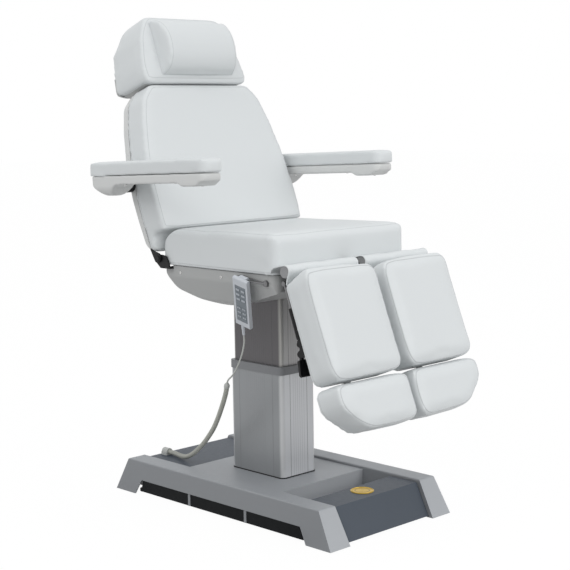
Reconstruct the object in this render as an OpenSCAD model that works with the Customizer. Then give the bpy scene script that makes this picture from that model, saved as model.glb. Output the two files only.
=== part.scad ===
// Podiatry chair: a lift-column treatment chair with two calf rests, sliding foot rests,
// folding arms, a reclining back, a tilting seat and toe pedals along both sides of its base.
// Millimetres. +Z is up, the seat faces -Y, and +X is the sitter's left.

/* [Base] */
// Length of the base along the chair
base_l = 980; // [900:10:1060]
// Width of the base at the floor
base_w = 522; // [500:2:560]
// Height of the two side rails
rail_h = 111; // [105:1:120]
// How far the middle of the base stands behind the middle of the chair
base_y = 40; // [30:1:50]

/* [Column] */
// Width of the fixed outer column
column_w = 144; // [140:1:150]
// Depth of the fixed outer column
column_d = 231; // [226:1:236]
// Height of the top of the fixed outer column
column_top = 447; // [440:1:450]

/* [Seat] */
// Width of the seat cushion
seat_w = 560; // [544:2:562]
// Thickness of the seat cushion
seat_t = 112; // [98:1:114]
// Height of the underside of the seat cushion
seat_z = 764; // [764:1:768]

/* [Back] */
// Lean of the back behind the vertical, in degrees
back_lean = 20; // [18:0.5:22]
// Width of the back at its widest
back_w = 600; // [590:2:610]
// Length of the back cushion above the seat
back_l = 474; // [465:1:476]
// Length of the head rest
head_l = 230; // [212:1:232]

/* [Arms] */
// Width of an arm pad
arm_w = 87; // [80:1:90]
// Length of an arm pad
arm_l = 540; // [500:5:570]

/* [Legs] */
// Angle of the leg rests below the horizontal, in degrees
leg_drop = 69; // [66:0.5:72]
// Width over both leg rests
legs_w = 600; // [590:2:606]
// Length of a calf pad
calf_l = 334; // [320:1:336]
// Length of a foot pad
foot_l = 142; // [120:1:150]

/* [Hidden] */
$fn = 48;
base_top_l = base_l - 115;
rail_top_w = 66;
rail_foot_w = 81;
foot_len = 105;
skin = 4;
deck_z = 103;
deck_front = -201;
deck_rear = 222;
well_front = -322;
cover_end = 425;
pedal_top = 51;
pedal_gap = 12;
pedal_axle = [236, 40];
pedal_axle_r = 5;
column_y = 50;
column_wall = 6;
column_slack = 1;
column_foot = 66;
inner_w = column_w - 2 * (column_wall + column_slack);
inner_d = column_d - 2 * (column_wall + column_slack);
inner_top = 690;
tilt_at = [column_y, 718];
tilt_r = 10;
spindle_r = 14;
seat_front = -260;
seat_rear = 238;
hull_rim = 762;
hull_floor = 649;
recline_at = [246, 782];
recline_r = 8;
back_foot = [204, 869];
back_t = 106;
board_t = 83;
arm_at = [350, 1000];
arm_pin_r = 10;
arm_x = 362;
arm_rise = 2.2;
head_gap = 6;
head_foot = back_l + head_gap;
post_x = 60;
post_r = 7;
leg_at = [-300, 772];
leg_lean = 90 - leg_drop;
leg_rod_r = 8;
calf_gap = 14;
foot_gap = 8;
pad_front = -100;
pad_back = -10;
foot_top = calf_l + 3;
gas_x = 254;
gas_foot = [36, -196];
gas_head = [34, -20];
lever_at = [47, -222];
gas_pin = [leg_at[0] + gas_head[0] * cos(leg_lean) + gas_head[1] * sin(leg_lean),
    leg_at[1] - gas_head[0] * sin(leg_lean) + gas_head[1] * cos(leg_lean)];
handset_at = [-285.5, -142, 747];
handset_turn = [17, -20, 0];
gland_at = [-114, 430, 113];
// The grey sleeve lies on the rear cover and rises to the lead; the thin lead hangs from the handset.
sleeve_route = [[-114, 430, 113], [-114, 405, 113], [-120, 375, 113], [-128, 345, 115],
    [-135, 315, 121], [-142, 280, 136], [-149, 245, 158], [-157, 205, 187], [-165, 170, 217],
    [-174, 135, 250], [-183, 105, 285], [-191, 80, 318], [-198, 58, 350], [-204, 40, 380],
    [-208, 30, 404]];
lead_route = [[-208, 30, 404], [-210, 26, 414], [-213, 16, 425], [-219, -5, 438],
    [-225, -28, 457], [-230, -52, 487], [-232, -69, 518], [-231, -77, 548], [-234, -80, 573]];
sleeve_r = 7.5;
lead_r = 2.5;

// ---- Outlines and small shapes used by many pieces ----

function unit(v) = v / norm(v);

// Points of the round corner of radius r at p, between the sides to a and to b.
function corner(a, p, b, r, n) =
    let (u = unit(a - p), v = unit(b - p), half = acos(u * v) / 2)
    let (c = p + unit(u + v) * (r / sin(half)), from = p + u * (r / tan(half)) - c)
    let (to = p + v * (r / tan(half)) - c)
    let (turn = atan2(from[0] * to[1] - from[1] * to[0], from * to))
    [for (i = [0:n]) c + [from[0] * cos(turn * i / n) - from[1] * sin(turn * i / n),
        from[0] * sin(turn * i / n) + from[1] * cos(turn * i / n)]];

// A closed outline of [x, y, corner radius] entries, with its corners rounded.
function rounded(list, n = 6) =
    let (k = len(list), at = [for (e = list) [e[0], e[1]]])
    [for (i = [0:k - 1]) each (list[i][2] > 0
        ? corner(at[(i + k - 1) % k], at[i], at[(i + 1) % k], list[i][2], n) : [at[i]])];

// The outline of a strip of thickness t that lies to the left of an open path.
function strip(path, t) =
    let (k = len(path), way = [for (i = [0:k - 2]) unit(path[i + 1] - path[i])])
    let (side = [for (i = [0:k - 1]) let (a = way[max(i - 1, 0)], b = way[min(i, k - 2)])
        [-(a + b)[1], (a + b)[0]] * t / (1 + a * b)])
    concat(path, [for (i = [k - 1:-1:0]) path[i] + side[i]]);

function mirrored(half) = concat(half, [for (i = [len(half) - 1:-1:0])
    [-half[i][0], half[i][1], half[i][2]]]);

function box_outline(w, d, r) = [[w / 2, -d / 2, r], [w / 2, d / 2, r], [-w / 2, d / 2, r],
    [-w / 2, -d / 2, r]];

// A round bar from point a to point b.
module rod(a, b, r) {
    d = b - a;
    translate(a)
        rotate([0, acos(d[2] / norm(d)), atan2(d[1], d[0])])
            cylinder(h = norm(d), r = r);
}

// A side-view outline, given as [y, z], drawn across the chair from x0 to x1.
module across(x0, x1) {
    translate([x0, 0, 0])
        rotate([90, 0, 90])
            linear_extrude(x1 - x0) children();
}

// A front-view outline, given as [x, z], drawn along the chair from y0 to y1.
module along(y0, y1) {
    translate([0, y1, 0])
        rotate([90, 0, 0])
            linear_extrude(y1 - y0) children();
}

module pin_x(x0, x1, at, r) {
    translate([x0, at[0], at[1]])
        rotate([0, 90, 0])
            cylinder(h = x1 - x0, r = r);
}

module slab(lo, hi) {
    translate(lo)
        cube(hi - lo);
}

module both_sides() {
    children();
    mirror([1, 0, 0]) children();
}

module on_base() {
    translate([0, base_y, 0]) children();
}

// Back frame of reference: x, t behind the back's front face, l up along it.
module on_back() {
    translate([0, back_foot[0], back_foot[1]])
        rotate([-back_lean, 0, 0]) children();
}

// Leg frame of reference: origin on the knee rod, z up along the leg, -y to its front.
module on_leg() {
    translate([0, leg_at[0], leg_at[1]])
        rotate([-leg_lean, 0, 0]) children();
}

module on_arm() {
    translate([0, arm_at[0], arm_at[1]])
        rotate([-arm_rise, 0, 0]) children();
}

module on_side(side) {
    mirror([side < 0 ? 1 : 0, 0, 0]) children();
}

// ---- Base ----

function foot_slope(z) = base_l / 2 - z * (base_l - base_top_l) / 2 / rail_h;

module rail_outline(grow, top) {
    out = base_w / 2;
    out_top = out - 11;
    in_top = out_top - rail_top_w;
    in_foot = out - rail_foot_w;
    polygon(rounded([[out + grow, 3 + min(grow, 0) * 2, 0], [out_top + grow, top, 5 + grow],
        [in_top - grow, top, 5 + grow], [in_foot - grow, 3 + min(grow, 0) * 2, 0]]));
}

module base_side(grow) {
    end = base_l / 2 + grow;
    end_top = base_top_l / 2 + grow;
    polygon(rounded([[-end, 0, 0], [end, 0, 0], [end_top, rail_h + grow, 8],
        [-end_top, rail_h + grow, 8]]));
}

module pedal_bay() {
    half = base_l / 2 - foot_len;
    polygon([[-half - 8, -1], [half + 8, -1], [half - 22, pedal_top], [-half + 22, pedal_top]]);
}

module base_shell() {
    color([0.72, 0.73, 0.74]) on_base() {
        difference() {
            intersection() {
                both_sides() along(-base_l / 2, base_l / 2) rail_outline(0, rail_h);
                across(-base_w / 2, base_w / 2) base_side(0);
            }
            intersection() {
                both_sides() along(-base_l / 2, base_l / 2) rail_outline(-skin, rail_h - skin);
                across(-base_w / 2, base_w / 2) base_side(-skin);
            }
            both_sides() {
                across(base_w / 2 - 60, base_w / 2 + 5) pedal_bay();
                slab([168, -194, 56], [192, 304, 96]);
            }
        }
        both_sides() for (i = [-1, 1]) pedal_rib(i);
        difference() {
            translate([-185, deck_front, deck_z - skin])
                cube([370, deck_rear - deck_front, skin]);
            translate([0, column_y - base_y, 0])
                linear_extrude(deck_z + 1)
                    polygon(rounded(box_outline(column_w + 1, column_d + 1, 14)));
        }
        translate([-183, deck_front, 34])
            cube([366, skin, deck_z - skin - 34]);
        translate([-183, well_front + 5, 30])
            cube([366, deck_front - well_front - 5 + skin, skin]);
    }
}

module pedal_rib(i) {
    third = (base_l / 2 - foot_len) * 2 / 3;
    difference() {
        translate([base_w / 2 - 46, i * third / 2 - pedal_gap / 2 + 1, 12])
            cube([38, pedal_gap - 2, 62]);
        translate([pedal_axle[0], i * third / 2, pedal_axle[1]])
            rotate([90, 0, 0])
                cylinder(h = 40, r = pedal_axle_r, center = true);
    }
}

module base_frame() {
    color([0.2, 0.2, 0.21]) on_base() {
        slab([-178, deck_front + skin + 1, column_foot - 6], [178, cover_end - 8, column_foot]);
        both_sides() {
            slab([190, -405, 76], [228, 405, 96]);
            slab([176, -190, column_foot - 6], [194, 300, 92]);
            for (i = [-1, 1])
                slab([195, i * 402 - 18, 50], [225, i * 402 + 18, 78]);
        }
    }
}

module front_cover() {
    path = [[well_front, 35], [well_front, deck_z], [-cover_end, deck_z], [-472, 8]];
    color([0.3, 0.34, 0.4]) on_base()
        across(-179, 179) polygon(strip(path, 3));
}

module rear_cover() {
    path = [[472, 8], [cover_end, deck_z], [deck_rear + 1, deck_z]];
    color([0.3, 0.34, 0.4]) on_base()
        difference() {
            across(-179, 179) polygon(strip(path, 3));
            translate([0, 449, 56])
                rotate([-64, 0, 0])
                    cube([40, 30, 30], center = true);
            translate([gland_at[0], gland_at[1] - base_y + 14, 90])
                cylinder(h = 20, r = 5);
        }
}

module levelling_feet() {
    color([0.1, 0.1, 0.1]) on_base()
        for (x = [-210, 210], y = [-402, 402]) translate([x, y, 0]) {
            cylinder(h = 8, r = 17);
            cylinder(h = 50, r = 6);
        }
}

module badge_disc() {
    color([0.8, 0.66, 0.25]) on_base()
        translate([0, -368, deck_z]) {
            cylinder(h = 1.6, r = 35);
            rotate_extrude()
                translate([32, 1.6]) circle(r = 1.4);
        }
}

module column_outer() {
    color([0.66, 0.68, 0.7]) translate([0, column_y, column_foot])
        difference() {
            linear_extrude(column_top - column_foot)
                polygon(rounded(box_outline(column_w, column_d, 14)));
            translate([0, 0, -1])
                linear_extrude(column_top - column_foot + 2)
                    polygon(rounded(box_outline(column_w - 2 * column_wall,
                        column_d - 2 * column_wall, 9)));
        }
}

module column_collar() {
    color([0.7, 0.76, 0.84]) translate([0, column_y, column_top - 22])
        difference() {
            linear_extrude(25)
                polygon(rounded(box_outline(column_w + 6, column_d + 6, 16)));
            translate([0, 0, -1])
                linear_extrude(23)
                    polygon(rounded(box_outline(column_w, column_d, 14)));
            linear_extrude(30)
                polygon(rounded(box_outline(inner_w + 1, inner_d + 1, 9)));
        }
}

module lift_motor() {
    color([0.15, 0.15, 0.16]) translate([0, column_y, column_foot])
        difference() {
            union() {
                cylinder(h = 90, r = 34);
                cylinder(h = 330, r = 21);
                translate([-18, 20, 0])
                    cube([36, 60, 80]);
            }
            translate([0, 0, 52])
                cylinder(h = 300, r = spindle_r + 0.05);
        }
}

module mains_inlet() {
    color([0.08, 0.08, 0.08]) on_base()
        translate([0, 449, 56])
            rotate([-64, 0, 0])
                difference() {
                    union() {
                        translate([-24, -17, 3.5])
                            cube([48, 34, 2.5]);
                        translate([-19.5, -14.5, -16])
                            cube([39, 29, 20]);
                    }
                    translate([-14, -9, -8])
                        cube([28, 18, 30]);
                }
}

module cable_gland() {
    color([0.62, 0.64, 0.62]) translate([gland_at[0], gland_at[1], 0])
        difference() {
            union() {
                slab([-14, 0, deck_z], [14, 26, deck_z + 10]);
                translate([0, 0, gland_at[2]])
                    rotate([-90, 0, 0])
                        cylinder(h = 26, r = 12);
                translate([0, 14, deck_z - 9])
                    cylinder(h = 12, r = 4.5);
            }
            translate([-20, -5, deck_z - 3])
                cube([40, 40, 3]);
        }
    color([0.62, 0.64, 0.62]) translate([gland_at[0], gland_at[1] + 14, deck_z - 9])
        cylinder(h = 9, r = 4.5);
}

// ---- Toe pedals ----

module pedal_shafts() {
    color([0.6, 0.6, 0.6]) on_base()
        for (side = [-1, 1])
            translate([side * pedal_axle[0], 355, pedal_axle[1]])
                rotate([90, 0, 0])
                    cylinder(h = 710, r = pedal_axle_r);
}

// One pedal: i is -1 at the front, 0 in the middle and 1 at the rear of its side.
module pedal(side, i) {
    half = base_l / 2 - foot_len;
    third = half * 2 / 3;
    y0 = i * third - third / 2 + pedal_gap / 2;
    y1 = y0 + third - pedal_gap;
    end = half - 7;
    front = i < 0 ? [[-end + 6, 12], [-end - 10 + 32, pedal_top - 2]]
        : [[y0, 12], [y0, pedal_top - 2]];
    rear = i > 0 ? [[end - 22, pedal_top - 2], [end - 6, 12]]
        : [[y1, pedal_top - 2], [y1, 12]];
    color([0.09, 0.1, 0.12]) on_base() on_side(side)
        difference() {
            union() {
                across(243, 252) polygon(concat(front, rear));
                across(228, 243)
                    polygon([[y0 + 30, 16], [y0 + 30, 47], [y1 - 30, 47], [y1 - 30, 16]]);
                across(212, 228)
                    polygon([[i * third - 12, 22], [i * third - 12, 40],
                        [i * third + 12, 40], [i * third + 12, 22]]);
            }
            translate([pedal_axle[0], 450, pedal_axle[1]])
                rotate([90, 0, 0])
                    cylinder(h = 900, r = pedal_axle_r + 0.05);
        }
}

// ---- Cord ----

// Points on a smooth curve through a route, n steps to each span.
function smooth(p, n) =
    let (k = len(p) - 1)
    concat([for (i = [0:k - 1], j = [0:n - 1])
        let (t = j / n, a = p[max(i - 1, 0)], b = p[i], c = p[i + 1], d = p[min(i + 2, k)])
        (2 * b + (c - a) * t + (2 * a - 5 * b + 4 * c - d) * t * t
            + (3 * b - a - 3 * c + d) * t * t * t) / 2], [p[k]]);

// A closed tube of radius r and so many sides that follows a list of points.
module tube_along(p, r, sides) {
    k = len(p);
    way = [for (i = [0:k - 1]) unit(p[min(i + 1, k - 1)] - p[max(i - 1, 0)])];
    ring = [for (i = [0:k - 1])
        let (u = unit(cross(way[i], [1, 0.2, 0])), v = cross(way[i], u))
        for (s = [0:sides - 1]) p[i] + r * (cos(s * 360 / sides) * u + sin(s * 360 / sides) * v)];
    walls = [for (i = [0:k - 2], s = [0:sides - 1])
        let (a = i * sides + s, b = i * sides + (s + 1) % sides)
        [a, a + sides, b + sides, b]];
    polyhedron(ring, concat(walls, [[for (s = [0:sides - 1]) s],
        [for (s = [sides - 1:-1:0]) (k - 1) * sides + s]]));
}

module cord_sleeve() {
    color([0.66, 0.68, 0.64]) tube_along(sleeve_route, sleeve_r, 10);
}

module handset_cord() {
    color([0.78, 0.79, 0.76]) tube_along(smooth(lead_route, 2), lead_r, 8);
}

// ---- Moving column ----

module column_inner() {
    low = 256;
    color([0.5, 0.51, 0.53]) translate([0, column_y, low])
        difference() {
            linear_extrude(inner_top - low)
                polygon(rounded(box_outline(inner_w, inner_d, 12)));
            translate([0, 0, -1])
                linear_extrude(inner_top - low + 2)
                    polygon(rounded(box_outline(inner_w - 10, inner_d - 10, 8)));
        }
}

module column_top_plate() {
    color([0.25, 0.25, 0.26]) {
        slab([-62, column_y - 104, inner_top], [62, column_y + 104, inner_top + 8]);
        both_sides() {
            slab([48, tilt_at[0] - 16, inner_top + 8], [58, tilt_at[0] + 16, tilt_at[1]]);
            pin_x(48, 58, tilt_at, 16);
        }
        pin_x(-74, 74, tilt_at, tilt_r);
    }
}

module lift_spindle() {
    color("silver") translate([0, column_y, 310])
        cylinder(h = inner_top - 310, r = spindle_r);
}

// ---- Seat ----

// The point of the handset's hook wire that lies y along it from its middle.
function on_hook(y) = handset_at + y * [sin(handset_turn[0]) * sin(handset_turn[1]),
    cos(handset_turn[0]), sin(handset_turn[0]) * cos(handset_turn[1])];

module seat_frame() {
    color([0.12, 0.12, 0.13]) {
        slab([-214, seat_front + 16, seat_z - 8], [214, 212, seat_z]);
        both_sides() {
            slab([176, seat_front + 16, 732], [206, 200, seat_z - 7]);
            difference() {
                union() {
                    pin_x(60, 70, tilt_at, 15);
                    slab([60, tilt_at[0] - 15, tilt_at[1]], [70, tilt_at[0] + 15, seat_z - 7]);
                }
                pin_x(55, 75, tilt_at, tilt_r + 0.05);
            }
            // Rear bracket that carries the back's hinge pin
            slab([198, 196, 752], [282, 214, 758]);
            across(277, 282)
                polygon(rounded([[200, 752, 2], [240, 752, 6], [262, 770, 10], [262, 792, 12],
                    [234, 793, 8], [214, 790, 5], [200, 766, 2]]));
            pin_x(277, 290, recline_at, recline_r);
            // Arm and bar that hold the head of the gas spring
            across(196, 206)
                polygon(rounded([[-240, 757, 0], [-240, 736, 0], [-272, 730, 9], [-286, 741, 8],
                    [-274, 752, 6], [-246, 757, 0]]));
            pin_x(196, gas_x - 9, gas_pin, 5);
            pin_x(gas_x - 11, gas_x - 7.5, gas_pin, 8);
        }
        // Brackets that carry the knee rod
        for (x = [-150, 0, 150])
            across(x - 6, x + 6)
                polygon(rounded([[seat_front + 34, 757, 0], [seat_front + 34, 736, 0],
                    [-300, 754, 9], [-315, 772, 9], [-300, 786, 9], [-284, 776, 0],
                    [seat_front + 16, 757, 0]]));
        pin_x(-252, 252, leg_at, leg_rod_r);
    }
}

module tilt_motor() {
    color([0.15, 0.15, 0.16]) {
        slab([-112, 22, 696], [-78, 100, seat_z - 8]);
        pin_x(-165, -112, [62, 722], 24);
    }
}

// The boat-shaped plastic tray under the seat: side, front and top outlines.

module hull_side(inset) {
    polygon(rounded([[-252 + inset, hull_rim + 1, 0], [-252 + inset, 711 + inset, 12],
        [-95, 665 + inset, 300], [5, hull_floor + inset, 300], [110, 662 + inset, 250],
        [206 - inset, 690 + inset, 50], [246 - inset, hull_rim + 1, 0]], 8));
}

module hull_front(inset) {
    polygon(rounded(mirrored([[268 - inset, hull_rim + 1, 0], [264 - inset, 728, 40],
        [226 - inset, hull_floor + inset, 40]]), 8));
}

module hull_plan(inset) {
    polygon(rounded([[-268 + inset, -252 + inset, 30], [268 - inset, -252 + inset, 30],
        [268 - inset, 246 - inset, 26], [-268 + inset, 246 - inset, 26]], 8));
}

module hull_block(inset, top) {
    intersection() {
        across(-270, 270) hull_side(inset);
        along(-260, 250) hull_front(inset);
        translate([0, 0, 600])
            linear_extrude(top - 600) hull_plan(inset);
    }
}

module seat_shell() {
    color([0.8, 0.8, 0.79])
        difference() {
            hull_block(0, hull_rim);
            hull_block(4, hull_rim + 5);
            translate([-74, column_y - 130, 600])
                cube([148, 260, 100]);
            both_sides() {
                slab([230, 195, 751], [272, 260, 780]);
                slab([190, -262, 728], [212, -240, 780]);
                slab([142, -262, 731], [158, -240, 780]);
            }
            slab([-8, -262, 731], [8, -240, 780]);
            slab([motor_x - 18, 180, 700], [motor_x + 18, 260, 780]);
            pin_x(-285, -250, [-215, 738], 9.05);
        }
}

module seat_cushion() {
    top = seat_z + seat_t;
    color([0.93, 0.93, 0.93])
        intersection() {
            across(-seat_w / 2, seat_w / 2)
                polygon(rounded([[seat_front, seat_z, 18], [seat_front - 2, top, 22],
                    [204, top - 8, 60], [seat_rear, top - 48, 40], [seat_rear - 6, seat_z, 14]], 8));
            translate([0, 0, seat_z - 5])
                linear_extrude(seat_t + 10)
                    polygon(rounded([[-seat_w / 2, seat_front - 2, 32],
                        [seat_w / 2, seat_front - 2, 32], [seat_w / 2 - 6, seat_rear, 14],
                        [6 - seat_w / 2, seat_rear, 14]], 8));
        }
}

module handset_hook() {
    wire = 2.5;
    color("silver") {
        pin_x(-273, -258, [-215, 738], 9);
        rod([-270, -219, 738], on_hook(-22), wire - 0.3);
        rod([-270, -211, 738], on_hook(24) + [14, 1, 2], wire - 0.3);
        rod(on_hook(24) + [15, 1, 2], on_hook(24), wire - 0.2);
        rod(on_hook(-25), on_hook(25), wire);
    }
}

// ---- Back motor ----

motor_x = 130;
motor_foot = [-110, 715];
motor_aim = 2.2;
rod_reach = 386;
crank_at = [115, -106];

module on_motor() {
    translate([motor_x, motor_foot[0], motor_foot[1]])
        rotate([motor_aim, 0, 0]) children();
}

module back_motor() {
    color([0.15, 0.15, 0.16]) {
        on_motor()
            difference() {
                union() {
                    rotate([-90, 0, 0]) cylinder(h = 215, r = 16);
                    translate([0, 0, -12])
                        rotate([-90, 0, 0]) cylinder(h = 90, r = 26);
                }
                translate([0, 40, 0])
                    rotate([-90, 0, 0]) cylinder(h = 300, r = 9.05);
            }
        slab([motor_x - 12, -106, 728], [motor_x + 12, -90, seat_z - 8]);
    }
}

module back_motor_rod() {
    color("silver") on_motor() {
        translate([0, 110, 0])
            rotate([-90, 0, 0]) cylinder(h = rod_reach - 138, r = 9);
        slab([-9, rod_reach - 30, -9], [9, rod_reach - 19, 9]);
        for (x = [-9, 5])
            slab([x, rod_reach - 19, -9], [x + 4, rod_reach + 10, 9]);
    }
}

// ---- Back ----

function back_half(l) = l < 110 ? back_w / 2 : back_w / 2 - (l - 110) * (l - 110) / 1850;

// Outline of the back in its own plane, from the foot to the head, narrowed by inset.
function back_outline(foot, inset) = mirrored([[back_half(0) - 4 - inset, foot, 22],
    [back_half(100) - inset, 60, 60], [back_half(100) - inset, 130, 120],
    [back_half(240) - inset, 240, 200], [back_half(350) - inset, 350, 200],
    [back_half(428) - inset, 428, 60], [202 - inset, back_l - inset, 22]]);

module back_slice(foot, inset, t0, t1) {
    along(t0, t1) polygon(rounded(back_outline(foot, inset)));
}

module back_cushion() {
    color([0.93, 0.93, 0.93]) on_back()
        difference() {
            back_slice(-46, 0, 0, board_t - 1);
            translate([-400, -10, -90])
                cube([800, 68, 93]);
            both_sides() slab([281, 68, -60], [290, 90, -37]);
        }
}

module back_shell() {
    color([0.8, 0.8, 0.79]) on_back()
        difference() {
            intersection() {
                back_slice(-40, 2, board_t, back_t);
                across(-310, 310)
                    polygon(rounded([[60, -60, 0], [84, -44, 6], [98, -12, 14], [back_t, 180, 99],
                        [back_t, back_l - 6, 16], [60, back_l - 6, 0]]));
            }
            intersection() {
                back_slice(-36, 6, board_t - 1, back_t - 3);
                across(-310, 310)
                    polygon([[60, -50], [84, -38], [95, -10], [back_t - 3, 180],
                        [back_t - 3, back_l - 28], [60, back_l - 28]]);
            }
            both_sides() {
                slab([281, 60, -60], [290, 101, -8]);
                pin_x(280, 320, [92.4, 173], 13);
                translate([post_x, 92.4, 400]) cylinder(h = 100, r = post_r + 0.4);
            }
            slab([motor_x - 12, 60, -60], [motor_x + 12, 110, -5]);
        }
}

module back_frame() {
    hinge = [69.2, -67.4];
    color([0.12, 0.12, 0.13]) on_back() {
        difference() {
            union() {
                slab([-236, board_t + 1, -6], [236, board_t + 5, 400]);
                both_sides() {
                    slab([236, board_t + 1, -6], [288, board_t + 5, 60]);
                    translate([post_x, 92.4, 330])
                        cylinder(h = 114, r = 10.2);
                    pin_x(230, 380, [92.4, 173], arm_pin_r);
                    pin_x(300, 320.5, [92.4, 173], 19);
                }
            }
            both_sides() translate([post_x, 92.4, 300])
                cylinder(h = 200, r = post_r + 0.05);
        }
        // Ears on the back's hinge pins
        both_sides()
            difference() {
                across(283, 288)
                    polygon(rounded([[hinge[0] - 13, hinge[1] - 12, 11],
                        [hinge[0] + 14, hinge[1] - 12, 11], [93, -32, 5], [93, 10, 0],
                        [84, 10, 0], [84, -38, 0], [hinge[0] - 13, hinge[1] + 10, 8]]));
                pin_x(280, 290, hinge, recline_r + 0.05);
            }
        // Crank that the back motor pushes
        difference() {
            across(motor_x - 4, motor_x + 4)
                polygon(rounded([[84, 2, 0], [93, 2, 0], [98, -30, 10], [125, -100, 8],
                    [122, -115, 8], [107, -114, 8], [85, -34, 4]]));
            pin_x(motor_x - 9, motor_x + 9, crank_at, 4);
        }
    }
}

module side_clip() {
    color([0.5, 0.55, 0.57]) on_back()
        translate([275.8, 51, 318])
            rotate([0, -11.3, 0])
                translate([0.5, -11, -18])
                    cube([8, 22, 36]);
}

// ---- Arms ----

module arm_pad(side) {
    color([0.93, 0.93, 0.93]) on_side(side) on_arm()
        intersection() {
            across(arm_x - arm_w / 2, arm_x + arm_w / 2)
                polygon(rounded([[75, 36, 6], [75, 75, 14], [75 - arm_l, 75, 14],
                    [75 - arm_l, 36, 6]]));
            linear_extrude(80)
                polygon(rounded([[arm_x - arm_w / 2, 75, 18], [arm_x + arm_w / 2, 75, 18],
                    [arm_x + arm_w / 2, 75 - arm_l, 30], [arm_x - arm_w / 2, 75 - arm_l, 30]]));
        }
}

module arm_housing(side) {
    tip = 75 - arm_l;
    color([0.82, 0.82, 0.81]) on_side(side) on_arm()
        difference() {
            intersection() {
                across(arm_x - 40, arm_x + 40)
                    polygon(rounded([[68, 35, 0], [64, 4, 14], [20, -26, 18], [-14, -26, 16],
                        [-50, 8, 34], [tip + 122, 8, 30], [tip + 104, -2, 20],
                        [tip + 40, -2, 20], [tip + 26, 8, 12], [tip + 9, 12, 12],
                        [tip + 5, 35, 0]]));
                // The rear boss is narrower than the arm and rounded underneath
                along(tip - 10, 80)
                    polygon(rounded([[arm_x - 41, 36, 0], [arm_x - 41, 6, 5], [arm_x - 39, -27, 34],
                        [arm_x + 39, -27, 34], [arm_x + 41, 6, 5], [arm_x + 41, 36, 0]]));
                translate([0, 0, -40])
                    linear_extrude(80)
                        polygon(rounded([[arm_x - 40, 71, 16], [arm_x + 40, 71, 16],
                            [arm_x + 40, tip + 3, 28], [arm_x - 40, tip + 3, 28]]));
            }
            pin_x(arm_x - 50, 382, [0, 0], arm_pin_r + 0.05);
        }
}

// ---- Head rest ----

module headrest_posts() {
    color("silver") on_back()
        both_sides() translate([post_x, 92.4, 345])
            cylinder(h = 195, r = post_r);
}

function head_outline(inset) = mirrored([[214 - inset, head_foot + inset, 26],
    [204 - inset, head_foot + 75, 80], [188 - inset, head_foot + 150, 60],
    [152 - inset, head_foot + head_l - inset, 60]]);

module headrest_shell() {
    path = [[30, head_foot], [148, head_foot], [163, head_foot + 14], [163, head_foot + 70]];
    color([0.35, 0.36, 0.38]) on_back()
        difference() {
            intersection() {
                across(-214, 214) polygon(strip(path, 5));
                along(0, 200) polygon(rounded(head_outline(0)));
            }
            both_sides() translate([post_x, 92.4, 400])
                cylinder(h = 120, r = post_r);
        }
}

module headrest_cushion() {
    color([0.93, 0.93, 0.93]) on_back()
        difference() {
            intersection() {
                across(-220, 220)
                    polygon(rounded([[0, head_foot - 3, 8], [25, head_foot - 3, 5],
                        [26, head_foot + 5, 1], [143, head_foot + 5, 4],
                        [157.5, head_foot + 20, 4], [158, head_foot + 150, 60],
                        [118, head_foot + head_l, 50], [0, head_foot + head_l, 24]], 8));
                along(-1, 200) polygon(rounded(head_outline(-3)));
            }
            both_sides() translate([post_x, 92.4, 400])
                cylinder(h = 141, r = post_r);
        }
}

module head_pillow() {
    mid = head_foot + 111;
    color([0.93, 0.93, 0.93]) on_back()
        intersection() {
            across(-148, 148)
                polygon(concat([for (a = [0:9:180]) [-1 - 62 * sin(a), mid - 89 * cos(a)]]));
            translate([0, 0, head_foot])
                linear_extrude(height = head_l)
                    polygon([[-148, 0], [148, 0], [136, -64], [-136, -64]]);
        }
}

// ---- Legs ----

module leg_frame(side) {
    color([0.12, 0.12, 0.13]) on_side(side) on_leg() {
        difference() {
            union() {
                pin_x(16, 142, [0, 0], 12);
                pin_x(158, 248, [0, 0], 12);
                slab([40, pad_back, -290], [142, pad_back + 6, 0]);
                slab([158, pad_back, -290], [276, pad_back + 6, 0]);
                slab([142, pad_back, -290], [158, pad_back + 6, -40]);
            }
            pin_x(0, 300, [0, 0], leg_rod_r + 0.05);
        }
        // Channel for the foot rest's bar
        difference() {
            slab([133, pad_back + 6, -300], [177, 13, -80]);
            slab([139.5, -0.5, -310], [170.5, 8.5, -70]);
        }
        // Ears for the gas spring's foot and for the lever
        for (x = [gas_x - 8, gas_x + 5])
            across(x, x + 3)
                polygon(rounded([[pad_back + 6, -176, 0], [38, -184, 9], [46, -197, 6],
                    [36, -207, 6], [26, -209, 3], [44, -213, 6], [56, -220, 7], [48, -232, 7],
                    [pad_back + 6, -240, 0]]));
        pin_x(gas_x - 6, gas_x + 6, gas_foot, 3.5);
        pin_x(gas_x - 6, gas_x + 6, lever_at, 3.5);
    }
}

// The upholstered flap that wraps the knee roll and hangs down to the back of the calf pad.
module leg_flap(side) {
    out = legs_w / 2 - 6;
    wrap = [[2, 18.5], [-12, 25], [-25, 22.5], [-33, 10], [-34.5, -6], [-30, -20], [-21, -31]];
    color([0.93, 0.93, 0.93]) on_side(side) on_leg()
        difference() {
            union() {
                pin_x(calf_gap, 249, [0, 0], 19);
                across(calf_gap, out) polygon(strip(wrap, 4));
            }
            pin_x(0, 310, [0, 0], 12.4);
            slab([141, -10, -40], [159, 40, 40]);
            slab([38, -11, -40], [278, -3, 0]);
        }
}

module calf_pad(side) {
    color([0.93, 0.93, 0.93]) on_side(side) on_leg()
        intersection() {
            along(pad_front, pad_back)
                polygon(rounded([[calf_gap, -20, 34], [legs_w / 2, 0, 46],
                    [legs_w / 2, -calf_l, 36], [calf_gap, -calf_l, 34]]));
            across(0, 310)
                polygon(rounded([[pad_back, -37, 12], [pad_back, -calf_l, 8],
                    [pad_front, -calf_l, 16], [pad_front, 0, 20]]));
        }
}

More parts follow.
